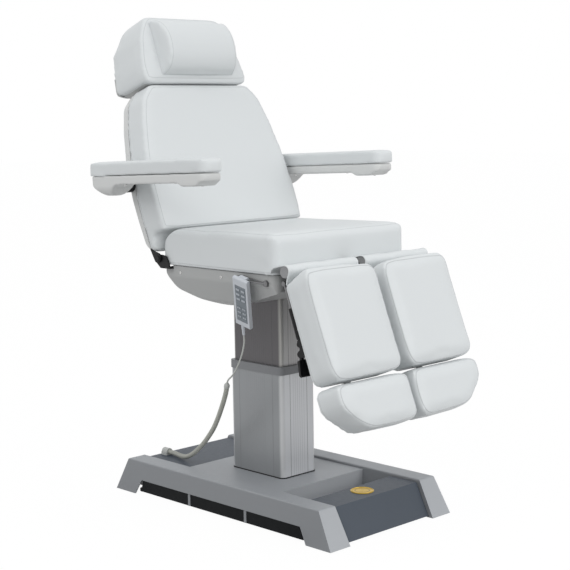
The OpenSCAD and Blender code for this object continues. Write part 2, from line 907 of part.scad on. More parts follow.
module foot_slide(side) {
    color("silver") on_side(side) on_leg() {
        slab([140, 0, -440], [170, 8, -110]);
        slab([140, -6, -440], [170, 0, -380]);
        slab([60, -11, -440], [240, -6, -370]);
    }
}

module foot_pad(side) {
    color([0.93, 0.93, 0.93]) on_side(side) on_leg()
        intersection() {
            along(pad_front, pad_back - 1.5)
                polygon(rounded([[foot_gap, -foot_top, 26], [legs_w / 2, -foot_top, 26],
                    [legs_w / 2, -foot_top - 66, 50], [215, -foot_top - foot_l + 4, 80],
                    [foot_gap, -foot_top - foot_l, 30]], 10));
            across(0, 310)
                polygon(rounded([[pad_back - 1.5, -foot_top, 8],
                    [pad_back - 1.5, -foot_top - foot_l, 12],
                    [pad_front, -foot_top - foot_l, 18], [pad_front, -foot_top, 16]]));
        }
}

module leg_lever(side) {
    color([0.06, 0.06, 0.07]) on_side(side) on_leg()
        difference() {
            union() {
                pin_x(gas_x - 4.5, gas_x + 4.5, lever_at, 8);
                across(gas_x - 4.5, gas_x + 4.5)
                    polygon([[lever_at[0] - 4, lever_at[1]], [lever_at[0] + 4, lever_at[1]],
                        [lever_at[0] + 6, lever_at[1] - 26], [lever_at[0] - 2, lever_at[1] - 26]]);
                along(lever_at[0] - 2, lever_at[0] + 6)
                    polygon(rounded([[gas_x - 13, lever_at[1] - 16, 4],
                        [gas_x + 13, lever_at[1] - 16, 4], [gas_x + 24, lever_at[1] - 64, 7],
                        [gas_x - 24, lever_at[1] - 64, 7]]));
            }
            pin_x(gas_x - 10, gas_x + 10, lever_at, 3.55);
        }
}

// The gas spring's black cylinder turns on the leg; its rod reaches a bar under the seat.
gas_aim = atan2(gas_foot[0] - gas_head[0], gas_head[1] - gas_foot[1]);
gas_len = norm(gas_head - gas_foot);

module on_gas(side) {
    on_side(side) on_leg()
        translate([gas_x, gas_foot[0], gas_foot[1]])
            rotate([gas_aim, 0, 0]) children();
}

module gas_rod(side) {
    color("silver") on_gas(side) {
        translate([0, 0, 32])
            cylinder(h = gas_len - 36, r = 4);
        pin_x(-5, 5, [0, gas_len], 7);
    }
}

module gas_body(side) {
    color([0.06, 0.06, 0.06]) on_gas(side)
        difference() {
            union() {
                pin_x(-4.5, 4.5, [0, 0], 8);
                cylinder(h = 20, r = 4.2);
                translate([0, 0, 14])
                    cylinder(h = 90, r = 8);
            }
            pin_x(-10, 10, [0, 0], 3.55);
            translate([0, 0, 24])
                cylinder(h = 100, r = 4.05);
        }
}

// ---- Handset ----

module on_handset() {
    translate(handset_at)
        rotate(handset_turn) children();
}

module handset_case() {
    color([0.8, 0.81, 0.83]) on_handset()
        difference() {
            union() {
                along(-28, 28)
                    polygon(rounded([[-19, -155, 4], [-6, -155, 4], [-6, 8, 4], [-19, 8, 5]]));
                along(-14, 14)
                    polygon(rounded([[-8, -10, 0], [7, -10, 2], [7, 8, 5], [-8, 8, 0]]));
                translate([-12, 6, -190])
                    cylinder(h = 40, r1 = 4, r2 = 6);
            }
            along(-15, 15)
                polygon([[-2.6, -11], [-2.6, 0], [2.6, 0], [2.6, -11]]);
            translate([0, 15, 0])
                rotate([90, 0, 0])
                    cylinder(h = 30, r = 2.55);
            slab([-20, -21, -138], [-17.8, 21, -16]);
        }
}

module handset_keypad() {
    rows = [-30, -46, -62, -92, -107, -122];
    color([0.5, 0.53, 0.56]) on_handset() {
        slab([-18.9, -20.5, -137.5], [-17.8, 20.5, -16.5]);
        for (z = rows, y = [-10, 10])
            slab([-19.8, y - 8, z - 5], [-18.8, y + 8, z + 5]);
    }
}

base_shell();
base_frame();
front_cover();
rear_cover();
levelling_feet();
badge_disc();
column_outer();
column_collar();
lift_motor();
mains_inlet();
cable_gland();
pedal_shafts();
pedal(-1, -1);  // pedal_right_front
pedal(-1, 0);  // pedal_right_middle
pedal(-1, 1);  // pedal_right_rear
pedal(1, -1);  // pedal_left_front
pedal(1, 0);  // pedal_left_middle
pedal(1, 1);  // pedal_left_rear
cord_sleeve();
handset_cord();
column_inner();
column_top_plate();
lift_spindle();
seat_frame();
tilt_motor();
seat_shell();
seat_cushion();
handset_hook();
back_motor();
back_motor_rod();
back_frame();
back_shell();
back_cushion();
side_clip();
arm_pad(1);  // arm_pad_left
arm_pad(-1);  // arm_pad_right
arm_housing(1);  // arm_housing_left
arm_housing(-1);  // arm_housing_right
headrest_posts();
headrest_shell();
headrest_cushion();
head_pillow();
leg_frame(1);  // leg_frame_left
leg_frame(-1);  // leg_frame_right
leg_flap(1);  // leg_flap_left
leg_flap(-1);  // leg_flap_right
calf_pad(1);  // calf_pad_left
calf_pad(-1);  // calf_pad_right
foot_slide(1);  // foot_slide_left
foot_slide(-1);  // foot_slide_right
foot_pad(1);  // foot_pad_left
foot_pad(-1);  // foot_pad_right
leg_lever(1);  // leg_lever_left
leg_lever(-1);  // leg_lever_right
gas_rod(1);  // gas_rod_left
gas_rod(-1);  // gas_rod_right
gas_body(1);  // gas_body_left
gas_body(-1);  // gas_body_right
handset_case();
handset_keypad();
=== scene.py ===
import math

import bmesh
import bpy
import numpy as np
from mathutils import Matrix, Vector
from mathutils.bvhtree import BVHTree


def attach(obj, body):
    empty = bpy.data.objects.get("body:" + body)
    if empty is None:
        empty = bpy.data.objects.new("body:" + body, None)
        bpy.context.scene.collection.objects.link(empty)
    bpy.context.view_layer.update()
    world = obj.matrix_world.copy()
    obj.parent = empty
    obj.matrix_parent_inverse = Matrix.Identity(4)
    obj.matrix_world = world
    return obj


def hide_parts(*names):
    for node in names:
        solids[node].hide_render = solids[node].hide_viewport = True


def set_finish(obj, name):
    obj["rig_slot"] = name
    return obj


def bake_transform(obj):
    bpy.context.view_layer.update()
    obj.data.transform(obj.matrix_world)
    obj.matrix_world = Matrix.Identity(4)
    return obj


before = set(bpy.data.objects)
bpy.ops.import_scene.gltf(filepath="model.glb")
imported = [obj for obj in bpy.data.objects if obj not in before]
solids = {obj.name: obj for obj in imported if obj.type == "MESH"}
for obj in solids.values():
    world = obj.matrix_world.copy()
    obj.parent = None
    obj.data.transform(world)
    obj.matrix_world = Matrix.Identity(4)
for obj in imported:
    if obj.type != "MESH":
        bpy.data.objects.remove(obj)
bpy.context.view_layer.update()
scene = bpy.context.scene

# ---------------------------------------------------------------- Camera
# It stands in front of the chair's right-hand corner, a little above the height of the
# arms, and looks slightly down with a long lens.
eye = Vector((-2.85066, -2.97277, 1.2100))
heading, dip, tilt = math.radians(-43.93), math.radians(7.19), math.radians(-0.957)
picture_width = 570
focal_length_in_pixels = 1348.98
sensor_width = 36
ahead = Vector((-math.sin(heading) * math.cos(dip), math.cos(heading) * math.cos(dip), -math.sin(dip)))
level = Vector((math.cos(heading), math.sin(heading), 0))
upward = level.cross(ahead)
right = math.cos(tilt) * level + math.sin(tilt) * upward
top = math.cos(tilt) * upward - math.sin(tilt) * level
lens = bpy.data.cameras.new("camera")
lens.sensor_width = sensor_width
lens.lens = focal_length_in_pixels / picture_width * sensor_width
lens.clip_end = 60
camera = bpy.data.objects.new("camera", lens)
scene.collection.objects.link(camera)
camera.matrix_world = Matrix(((right.x, top.x, -ahead.x, eye.x), (right.y, top.y, -ahead.y, eye.y),
                              (right.z, top.z, -ahead.z, eye.z), (0, 0, 0, 1)))
scene.camera = camera


# ---------------------------------------------------------------- Handset cord
# A grey corrugated sleeve leaves a gland on the rear cover, lies on it and springs up
# beside the column. The thin round lead comes out of its end bush and hangs from the
# bottom of the handset.
def add_node(tree, kind, settings, *values, **named):
    """Adds a node; its settings go first, then the values or links of its sockets."""
    node = tree.nodes.new(kind)
    for key, value in settings.items():
        setattr(node, key, value)
    pairs = list(zip(node.inputs, values))
    pairs += [(node.inputs[key.replace("_", " ")], value) for key, value in named.items()]
    for socket, value in pairs:
        if isinstance(value, Number):
            tree.links.new(value.socket, socket)
        elif isinstance(value, bpy.types.NodeSocket):
            tree.links.new(value, socket)
        else:
            socket.default_value = value
    return node


class Number:
    """A number that varies over a surface, written with the usual arithmetic signs."""

    def __init__(self, tree, socket):
        self.tree, self.socket = tree, socket

    def combined(self, kind, *others):
        node = add_node(self.tree, "ShaderNodeMath", {"operation": kind}, self, *others)
        return Number(self.tree, node.outputs[0])

    def __add__(self, other):
        return self.combined("ADD", other)

    def __radd__(self, other):
        return self.combined("ADD", other)

    def __mul__(self, other):
        return self.combined("MULTIPLY", other)

    def __rmul__(self, other):
        return self.combined("MULTIPLY", other)

    def __sub__(self, other):
        return self.combined("SUBTRACT", other)

    def __rsub__(self, other):
        return (self * -1.0) + other

    def __pow__(self, other):
        return self.combined("POWER", other)

    def size(self):
        return self.combined("ABSOLUTE")

    def below(self, other):
        return self.combined("LESS_THAN", other)

    def least(self, other):
        return self.combined("MINIMUM", other)

    def most(self, other):
        return self.combined("MAXIMUM", other)

    def wave(self):
        return self.combined("SINE")


class Finish:
    """One material: a Principled shader with its fixed values, and what varies on it."""

    def __init__(self, name, colour, rough, metal=0.0, **fixed):
        self.material = bpy.data.materials.new(name)
        self.material.use_nodes = True
        self.tree = self.material.node_tree
        self.shader = self.tree.nodes["Principled BSDF"]
        self.colour = colour
        self.shader.inputs["Base Color"].default_value = (*colour, 1)
        self.shader.inputs["Roughness"].default_value = rough
        self.shader.inputs["Metallic"].default_value = metal
        for key, value in fixed.items():
            self.shader.inputs[key.replace("_", " ")].default_value = value
        self.place = self.node("ShaderNodeTexCoord", {}).outputs["Object"]

    def node(self, kind, settings, *values, **named):
        return add_node(self.tree, kind, settings, *values, **named)

    def noise(self, scale, detail=2.0, rough=0.5):
        """Soft noise from 0 to 1; the scale is its patches in a metre."""
        made = self.node("ShaderNodeTexNoise", {}, Vector=self.place, Scale=scale, Detail=detail,
                         Roughness=rough)
        return Number(self.tree, made.outputs[0])

    def cells(self, scale, feature="F1"):
        """The distance to the middle of small cells; the scale is the cells in a metre."""
        made = self.node("ShaderNodeTexVoronoi", {"feature": feature}, Vector=self.place, Scale=scale)
        return Number(self.tree, made.outputs[0])

    def axes(self):
        """The place on the surface, as three numbers."""
        made = self.node("ShaderNodeSeparateXYZ", {}, self.place)
        return [Number(self.tree, s) for s in made.outputs]

    def facing(self):
        """The surface's own normal, as three numbers."""
        normal = self.node("ShaderNodeTexCoord", {}).outputs["Normal"]
        made = self.node("ShaderNodeSeparateXYZ", {}, normal)
        return [Number(self.tree, s) for s in made.outputs]

    def tint(self, amount, other):
        """Mixes the base colour with another by a number from 0 to 1."""
        made = self.node("ShaderNodeMix", {"data_type": "RGBA"})
        self.tree.links.new(amount.socket, made.inputs[0])
        source = self.shader.inputs["Base Color"]
        if source.is_linked:
            self.tree.links.new(source.links[0].from_socket, made.inputs[6])
        else:
            made.inputs[6].default_value = (*self.colour, 1)
        made.inputs[7].default_value = (*other, 1)
        self.tree.links.new(made.outputs[2], source)

    def polish(self, number):
        """Lets the roughness follow a number."""
        self.tree.links.new(number.socket, self.shader.inputs["Roughness"])

    def relief(self, height, depth, strength):
        """Adds a bump that is this deep in metres where the height goes from 0 to 1."""
        made = self.node("ShaderNodeBump", {}, Strength=strength, Distance=depth, Height=height)
        source = self.shader.inputs["Normal"]
        if source.is_linked:
            self.tree.links.new(source.links[0].from_socket, made.inputs["Normal"])
        self.tree.links.new(made.outputs[0], source)

    def give(self, *pieces):
        """Makes this the only material of new pieces, or of CAD nodes given by name."""
        for piece in pieces:
            target = solids[piece] if isinstance(piece, str) else piece
            target.data.materials.clear()
            target.data.materials.append(self.material)


def new_piece(name, mesh):
    """An object at the origin, with its place in its mesh."""
    piece = bpy.data.objects.new(name, mesh)
    scene.collection.objects.link(piece)
    return piece


def built(name, bm):
    """Closes a bmesh into a new piece."""
    mesh = bpy.data.meshes.new(name)
    bm.to_mesh(mesh)
    bm.free()
    return new_piece(name, mesh)


def round_line(points, step):
    """A smooth line through given points, as points a step apart."""
    given = [Vector(p) for p in points]
    ends = [2 * given[0] - given[1], *given, 2 * given[-1] - given[-2]]
    line, parts = [], 12
    for a, b, c, d in zip(ends, ends[1:], ends[2:], ends[3:]):
        for i in range(parts):
            t = i / parts
            line.append(0.5 * (2 * b + (c - a) * t + (2 * a - 5 * b + 4 * c - d) * t * t
                               + (3 * b - a - 3 * c + d) * t ** 3))
    line.append(given[-1])
    spaced, spare = [line[0]], 0.0
    for a, b in zip(line, line[1:]):
        gap = (b - a).length
        while spare + gap >= step:
            a = a + (b - a) * ((step - spare) / gap)
            gap, spare = (b - a).length, 0.0
            spaced.append(a)
        spare += gap
    shortest = step * 0.3
    if spare > shortest:
        spaced.append(line[-1])
    else:
        spaced[-1] = line[-1]
    return spaced


def tube(name, line, radius, sides=20):
    """A closed round tube along a line; radius is a function of the distance along it."""
    bm = bmesh.new()
    first_way = (line[1] - line[0]).normalized()
    side = first_way.orthogonal().normalized()
    turns = [math.tau * k / sides for k in range(sides)]
    rings, run, last = [], 0.0, len(line) - 1
    for i, point in enumerate(line):
        way = (line[min(i + 1, last)] - line[max(i - 1, 0)]).normalized()
        side = (side - way * side.dot(way)).normalized()
        other = way.cross(side)
        r = radius(run)
        rings.append([bm.verts.new(point + r * (math.cos(t) * side + math.sin(t) * other)) for t in turns])
        if i < last:
            run += (line[i + 1] - point).length
    for a, b in zip(rings, rings[1:]):
        for k in range(sides):
            bm.faces.new((a[k], a[(k + 1) % sides], b[(k + 1) % sides], b[k]))
    bm.faces.new(rings[0][::-1])
    bm.faces.new(rings[-1])
    for face in bm.faces:
        face.smooth = len(face.verts) == 4
    return built(name, bm), run


sleeve_points = [(-.114, .430, .113), (-.114, .405, .113), (-.120, .375, .113), (-.128, .345, .115),
                 (-.135, .315, .121), (-.142, .280, .136), (-.149, .245, .158), (-.157, .205, .187),
                 (-.165, .170, .217), (-.174, .135, .250), (-.183, .105, .285), (-.191, .080, .318),
                 (-.198, .058, .350), (-.204, .040, .380), (-.208, .030, .404)]
lead_points = [(-.208, .030, .404), (-.210, .026, .414), (-.213, .016, .425), (-.219, -.005, .438),
               (-.225, -.028, .457), (-.230, -.052, .487), (-.232, -.069, .518), (-.231, -.077, .548),
               (-.234, -.080, .573)]
sleeve_radius, rib_height, rib_pitch, rings_in_a_rib = 0.0072, 0.00042, 0.0042, 6
lead_radius, lead_step, lead_sides = 0.0025, 0.0025, 16
pivot_height = 0.487

sleeve_line = round_line(sleeve_points, rib_pitch / rings_in_a_rib)
sleeve, sleeve_run = tube("cord_sleeve_ribbed", sleeve_line,
                          lambda s: sleeve_radius + rib_height * math.cos(math.tau * s / rib_pitch))
sleeve_vinyl = Finish("Sleeve_grey_plastic", (0.44, 0.445, 0.40), 0.5, Specular_IOR_Level=0.4)
grime = sleeve_vinyl.noise(60, 4)
sleeve_vinyl.tint(grime * 0.5, (0.34, 0.345, 0.31))
sleeve_vinyl.polish(0.42 + 0.2 * sleeve_vinyl.noise(200))
sleeve_vinyl.relief(sleeve_vinyl.noise(900, 3), 0.0002, 0.5)
sleeve_vinyl.give(sleeve)
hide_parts("cord_sleeve")
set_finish(sleeve, "sleeve_plastic")

# The lead crosses two joints, so it is two pieces, which meet on the seat's stretch of it.
lead_line = round_line(lead_points, lead_step)
join = min(range(len(lead_line)), key=lambda i: abs(lead_line[i].z - pivot_height))
lead_plastic = Finish("Lead_pale_plastic", (0.52, 0.53, 0.50), 0.38, Specular_IOR_Level=0.5)
lead_plastic.polish(0.32 + 0.15 * lead_plastic.noise(300))
lead_plastic.relief(lead_plastic.noise(1500, 2), 0.00008, 0.5)
lower_lead, lower_run = tube("cord_lead_lower", lead_line[:join + 1], lambda s: lead_radius, lead_sides)
upper_lead, upper_run = tube("cord_lead_upper", lead_line[join:], lambda s: lead_radius, lead_sides)
for lead in (lower_lead, upper_lead):
    lead_plastic.give(lead)
    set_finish(lead, "cord_plastic")
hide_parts("handset_cord")

# The sleeve's end bush: a short tapered plug that grips the lead.
bush_lip, bush_radius, bush_tip = 0.0078, 0.0088, 0.0034
lip_end, taper_start, taper = 0.0015, 0.010, 0.62
bush_overlap, bush_step, bush_rings, bush_sides = 0.009, 0.001, 19, 24
bush_way = (sleeve_line[-1] - sleeve_line[-4]).normalized()
bush_start = sleeve_line[-1] - bush_way * bush_overlap
bush_line = [bush_start + bush_way * (bush_step * i) for i in range(bush_rings)]


def bush_width(s):
    """The radius at a distance along the bush: a thin lip, a round body and a taper."""
    if s < lip_end:
        return bush_lip
    if s < taper_start:
        return bush_radius
    return max(bush_tip, bush_radius - (s - taper_start) * taper)


bush, _ = tube("cord_sleeve_end_bush", bush_line, bush_width, bush_sides)
bush_plastic = Finish("Bush_grey_plastic", (0.50, 0.51, 0.49), 0.42)
bush_plastic.polish(0.36 + 0.2 * bush_plastic.noise(250))
bush_plastic.relief(bush_plastic.noise(1200, 2), 0.0001, 0.6)
bush_plastic.give(bush, "cable_gland")
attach(bush, "carriage")
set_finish(bush, "grey_plastic")
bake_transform(sleeve)
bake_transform(lower_lead)
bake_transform(upper_lead)


# ---------------------------------------------------------------- Seat cushion
# Moulded foam on a plywood board, pulled tight in white vinyl. The top panel is sewn to
# the side bands with a thin welt, and the cushion is screwed to the seat frame from below.
rest_share = 0.7        # of a voxel: points this near the back belong to the face that rests
soft_share = 0.4        # of the depth: points in front of this get every softening turn
rest_turns = 8          # turns that even out the resting face in its own plane
crown_from, crown_span = 0.35, 0.5      # how squarely a face must look forward to crown
resting_from = -0.5     # faces that look further back than this don't swell
side_slip = 0.0012      # how far the cloth may slide along the surface
deepest_dip = 0.003     # how far it may sink
edge_rise = 0.0006      # how far it may swell at the sides
move_turns, stay_share = 9, 0.4         # how the swelling is evened out over the mesh
cloth_frames = 20
same_point = 0.00005    # points nearer to each other than this are one


def relax(bm, verts):
    """Moves points halfway to the middle of their neighbours."""
    bmesh.ops.smooth_vert(bm, verts=verts, factor=0.5, use_axis_x=True, use_axis_y=True, use_axis_z=True)


def smooth_mesh(piece, times, which=None):
    """Relaxes a piece's points a few times, or only the chosen ones."""
    bm = bmesh.new()
    bm.from_mesh(piece.data)
    verts = bm.verts if which is None else [v for v, chosen in zip(bm.verts, which) if chosen]
    for _ in range(times):
        relax(bm, verts)
    bm.to_mesh(piece.data)
    bm.free()


def settled(piece):
    """The mesh that a piece's modifiers make."""
    return bpy.data.meshes.new_from_object(piece.evaluated_get(bpy.context.evaluated_depsgraph_get()))


def settle(piece):
    """Turns what a piece's modifiers make into its plain mesh."""
    made = settled(piece)
    piece.modifiers.clear()
    piece.data = made


def even_mesh(node, voxel):
    """A CAD solid's surface made anew with even faces."""
    block = solids[node].data.copy()
    bm = bmesh.new()
    bm.from_mesh(block)
    bmesh.ops.remove_doubles(bm, verts=bm.verts, dist=same_point)
    bm.to_mesh(block)
    bm.free()
    rough = new_piece(node + "_block", block)
    mould = rough.modifiers.new("mould", "REMESH")
    mould.mode, mould.voxel_size = "VOXEL", voxel
    made = settled(rough)
    bpy.data.objects.remove(rough)
    return made


def swelled(piece):
    """Where a piece's points go when it is blown up as cloth without gravity."""
    cloth = piece.modifiers.new("swell", "CLOTH")
    cloth.settings.quality = 4
    cloth.settings.mass = 0.2
    cloth.settings.tension_stiffness = cloth.settings.compression_stiffness = 15
    cloth.settings.shear_stiffness = 3
    cloth.settings.bending_stiffness = 6
    cloth.settings.use_pressure = True
    cloth.settings.uniform_pressure_force = 4
    cloth.settings.effector_weights.gravity = 0
    cloth.collision_settings.use_collision = False
    cloth.collision_settings.use_self_collision = False
    cloth.point_cache.frame_start, cloth.point_cache.frame_end = 1, cloth_frames
    for moment in range(1, cloth_frames + 1):
        scene.frame_set(moment)
    blown = piece.evaluated_get(bpy.context.evaluated_depsgraph_get()).data
    places = np.array([v.co for v in blown.vertices])
    piece.modifiers.remove(cloth)
    scene.frame_set(1)
    return places


def spread_over(piece, move, rear):
    """Evens out a move over the edges of a mesh, and leaves the resting face where it is."""
    ends = np.empty(len(piece.data.edges) * 2, np.int32)
    piece.data.edges.foreach_get("vertices", ends)
    one, two = ends[0::2], ends[1::2]
    beside = np.bincount(ends, minlength=len(move))[:, None]
    for _ in range(move_turns):
        total = np.zeros_like(move)
        np.add.at(total, one, move[two])
        np.add.at(total, two, move[one])
        move = stay_share * move + (1 - stay_share) * total / beside
        move[rear] = 0
    return move


def stuffed(node, draw_in, rise, top_way, voxel, soften, firm=2):
    """The cushion's block, drawn in a little and blown up as cloth, so that its faces crown
    and its sides pull in between the corners. It stays flat on the face that rests."""
    show = Vector(top_way).normalized()
    up = np.array(show)
    solid_points = np.array([v.co for v in solids[node].data.vertices])
    made = even_mesh(node, voxel)
    bm = bmesh.new()
    bm.from_mesh(made)
    deep = [v.co.dot(show) for v in bm.verts]
    rear_at = min(deep) + rest_share * voxel
    middle = min(deep) + soft_share * (max(deep) - min(deep))
    rear = np.array([d < rear_at for d in deep])
    resting = [v for v, d in zip(bm.verts, deep) if d < rear_at]
    loose = [v for v, d in zip(bm.verts, deep) if d >= rear_at]
    soft = [v for v, d in zip(bm.verts, deep) if d > middle]
    for turn in range(soften):
        relax(bm, loose if turn < firm else soft)
    rear_plane = float((solid_points @ up).min())
    for _ in range(rest_turns):
        relax(bm, resting)
        for v in resting:
            v.co += show * (rear_plane - v.co.dot(show))
    bm.normal_update()
    at = np.array([v.co for v in bm.verts])
    out = np.array([v.normal for v in bm.verts])
    for v, n in zip(bm.verts, out):
        v.co -= Vector(n) * draw_in
    bm.to_mesh(made)
    bm.free()
    piece = new_piece(node + "_vinyl", made)
    upward = out @ up
    limit = edge_rise + (rise - edge_rise) * np.clip((upward - crown_from) / crown_span, 0, 1)
    limit = np.where(upward < resting_from, 0.0, limit)
    step = swelled(piece) - at
    outward = np.einsum("ij,ij->i", step, out)
    sideways = step - outward[:, None] * out
    reach = np.linalg.norm(sideways, axis=1, keepdims=True)
    sideways *= np.minimum(1, side_slip / np.maximum(reach, 1e-9))
    move = sideways + np.clip(outward, -deepest_dip, limit)[:, None] * out
    final = at + spread_over(piece, move, rear)
    final[rear] = at[rear]
    for way in (np.array((1.0, 0, 0)), np.cross(up, (1.0, 0, 0))):
        full, have = solid_points @ way, final @ way
        grown = full.min() + (have - have.min()) * (np.ptp(full) / np.ptp(have))
        final += (grown - have)[:, None] * way
    piece.data.vertices.foreach_set("co", final.astype(np.float32).ravel())
    smooth_mesh(piece, 2, ~rear)
    finer = piece.modifiers.new("finer", "SUBSURF")
    finer.levels = finer.render_levels = 1
    settle(piece)
    piece.data.shade_smooth()
    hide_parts(node)
    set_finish(piece, "upholstery")
    return piece


def welt_tree():
    """Geometry nodes: a thin bead along the edges of a mesh, resampled evenly."""
    tree = bpy.data.node_groups.new("Welt", "GeometryNodeTree")
    face = tree.interface
    face.new_socket("Geometry", in_out="INPUT", socket_type="NodeSocketGeometry")
    radius = face.new_socket("Bead radius", in_out="INPUT", socket_type="NodeSocketFloat")
    pitch = face.new_socket("Pitch", in_out="INPUT", socket_type="NodeSocketFloat")
    vinyl = face.new_socket("Vinyl", in_out="INPUT", socket_type="NodeSocketMaterial")
    face.new_socket("Geometry", in_out="OUTPUT", socket_type="NodeSocketGeometry")
    add = tree.nodes.new
    start, end = add("NodeGroupInput"), add("NodeGroupOutput")
    curve, even = add("GeometryNodeMeshToCurve"), add("GeometryNodeResampleCurve")
    even.mode = "LENGTH"
    circle, bead = add("GeometryNodeCurvePrimitiveCircle"), add("GeometryNodeCurveToMesh")
    circle.inputs["Resolution"].default_value = 8
    shade = add("GeometryNodeSetShadeSmooth")
    realize, paint = add("GeometryNodeRealizeInstances"), add("GeometryNodeSetMaterial")
    link = tree.links.new
    link(start.outputs["Geometry"], curve.inputs["Mesh"])
    link(curve.outputs["Curve"], even.inputs["Curve"])
    link(start.outputs["Pitch"], even.inputs["Length"])
    link(start.outputs["Bead radius"], circle.inputs["Radius"])
    link(even.outputs["Curve"], bead.inputs["Curve"])
    link(circle.outputs["Curve"], bead.inputs["Profile Curve"])
    link(bead.outputs["Mesh"], shade.inputs["Geometry"])
    link(shade.outputs["Geometry"], realize.inputs["Geometry"])
    link(realize.outputs["Geometry"], paint.inputs["Geometry"])
    link(start.outputs["Vinyl"], paint.inputs["Material"])
    link(paint.outputs["Geometry"], end.inputs["Geometry"])
    return tree, radius.identifier, pitch.identifier, vinyl.identifier


welt = welt_tree()
welt_pitch = 0.004      # from ring to ring of the bead
welt_sink = 0.45        # of the bead's radius: how deep it lies in the vinyl
even_turns = 10         # turns that smooth the line of a seam
far_above, just_outside = 0.3, 0.05     # where the lines start that look for the vinyl


def seam(name, cushion, at, way, inset, body, radius=0.0011):
    """A sewn welt round a cushion. A flat cut through its sides gives the line, which is then
    moved in from the edge and laid on the face that the way points out of. Without an inset
    it stays on the sides."""
    way = Vector(way).normalized()
    bm = bmesh.new()
    bm.from_mesh(cushion.data)
    skin = BVHTree.FromBMesh(bm)
    cut = bmesh.ops.bisect_plane(bm, geom=bm.verts[:] + bm.edges[:] + bm.faces[:], dist=1e-6,
                                 plane_co=at, plane_no=way)
    place, pairs, spots, walls = {}, [], [], []
    for edge in [g for g in cut["geom_cut"] if isinstance(g, bmesh.types.BMEdge)]:
        for v in edge.verts:
            if v not in place:
                place[v] = len(place)
                spots.append(v.co.copy())
                walls.append((v.normal - way * v.normal.dot(way)).normalized())
        pairs.append([place[v] for v in edge.verts])
    bm.free()
    beside = [[] for _ in spots]
    for a, b in pairs:
        beside[a].append(b)
        beside[b].append(a)
    for _ in range(even_turns):
        spots = [(2 * p + sum((spots[n] for n in near), Vector())) / (2 + len(near))
                 for p, near in zip(spots, beside)]
        walls = [(w + sum((walls[n] for n in near), Vector())).normalized()
                 for w, near in zip(walls, beside)]
    for i, (spot, wall) in enumerate(zip(spots, walls)):
        if inset:
            start, out = spot - wall * inset + way * far_above, way
        else:
            start, out = spot + wall * just_outside, wall
        spots[i] = skin.ray_cast(start, -out)[0] - out * radius * welt_sink
    mesh = bpy.data.meshes.new(name)
    mesh.from_pydata(spots, pairs, [])
    bead = new_piece(name, mesh)
    smooth_mesh(bead, 2)
    tree, radius_at, pitch_at, vinyl_at = welt
    make = bead.modifiers.new("welt", "NODES")
    make.node_group = tree
    make[radius_at], make[pitch_at], make[vinyl_at] = radius, welt_pitch, welt_vinyl.material
    settle(bead)
    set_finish(bead, "upholstery")
    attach(bead, body)


vinyl = Finish("White_vinyl", (0.70, 0.725, 0.73), 0.44, Specular_IOR_Level=0.45)
pores = vinyl.cells(780, "SMOOTH_F1")
grain = vinyl.noise(420, 3, 0.6)
slack = vinyl.noise(5.5, 2, 0.45)
vinyl.tint(0.35 * vinyl.noise(3.2, 3), (0.66, 0.68, 0.685))
vinyl.tint(0.22 * (1.0 - pores).least(1.0), (0.745, 0.765, 0.77))
vinyl.polish(0.38 + 0.12 * grain + 0.05 * slack)
vinyl.relief(slack, 0.0035, 0.55)
vinyl.relief(pores * 0.7 + grain * 0.5, 0.00022, 0.42)

# The welts are the white vinyl painted darker, a painted shade along the seams.
welt_vinyl = Finish("Welt_vinyl", (0.585, 0.605, 0.61), 0.5, Specular_IOR_Level=0.35)
welt_vinyl.polish(0.44 + 0.14 * welt_vinyl.noise(420, 3, 0.6))
welt_vinyl.relief(welt_vinyl.noise(1500, 2), 0.00012, 0.5)

sky_way = Vector((0, 0, 1))
top_seam_cut, low_seam_cut = (0, 0, 0.805), (0, 0, 0.772)
seat_pad = stuffed("seat_cushion", 0.002, 0.006, sky_way, 0.0065, 5)
vinyl.give(seat_pad)
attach(seat_pad, "seat")
seam("seat_cushion_welt", seat_pad, top_seam_cut, sky_way, 0.016, "seat")
seam("seat_cushion_lower_welt", seat_pad, low_seam_cut, sky_way, 0, "seat")


# ---------------------------------------------------------------- Back cushion
# A tall moulded foam cushion in the same vinyl, widest at the arms and narrower at the
# top. Its side bands are sewn round the front panel, and it is screwed to the back board.
lean = math.radians(20)
back_foot = (0, 0.204, 0.869)
back_out = Vector((0, -math.cos(lean), math.sin(lean)))


def back_plane(behind):
    """A point of the plane that lies this far behind the front face of the back."""
    return Vector(back_foot) - back_out * behind


back_pad = stuffed("back_cushion", 0.002, 0.005, back_out, 0.0065, 6)
vinyl.give(back_pad)
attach(back_pad, "back")
seam("back_cushion_welt", back_pad, back_plane(0.045), back_out, 0.012, "back")
seam("back_cushion_rear_welt", back_pad, back_plane(0.074), back_out, 0, "back")


# ---------------------------------------------------------------- Head rest and its pillow
# A foam block in vinyl on a pale moulded tray that slides out of the back on two bright
# posts. A half-round pillow with sewn end caps lies across its front. The caps slant.
head_pad = stuffed("headrest_cushion", 0.002, 0.004, back_out, 0.006, 9, 6)
vinyl.give(head_pad)
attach(head_pad, "headrest")
seam("headrest_cushion_welt", head_pad, back_plane(0.045), back_out, 0.012, "headrest")
pillow = stuffed("head_pillow", 0.0015, 0.004, back_out, 0.005, 4)
vinyl.give(pillow)
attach(pillow, "headrest")
cap_seam_at, cap_across, cap_forward = 0.141, 0.983, 0.184
for side, across in (("right", Vector((-1, 0, 0))), ("left", Vector((1, 0, 0)))):
    seam("head_pillow_end_welt_" + side, pillow, back_plane(0) + across * cap_seam_at,
         across * cap_across + back_out * cap_forward, 0, "headrest")


# ---------------------------------------------------------------- Calf and foot pads
# Each leg has a long boxed calf pad and a D-shaped foot pad, foam on board in vinyl, each
# with a welt round its front panel. The right-hand pads are the left-hand ones mirrored.
drop = math.radians(21)
knee_rod = (0, -0.300, 0.772)
leg_out = Vector((0, -math.cos(drop), math.sin(drop)))


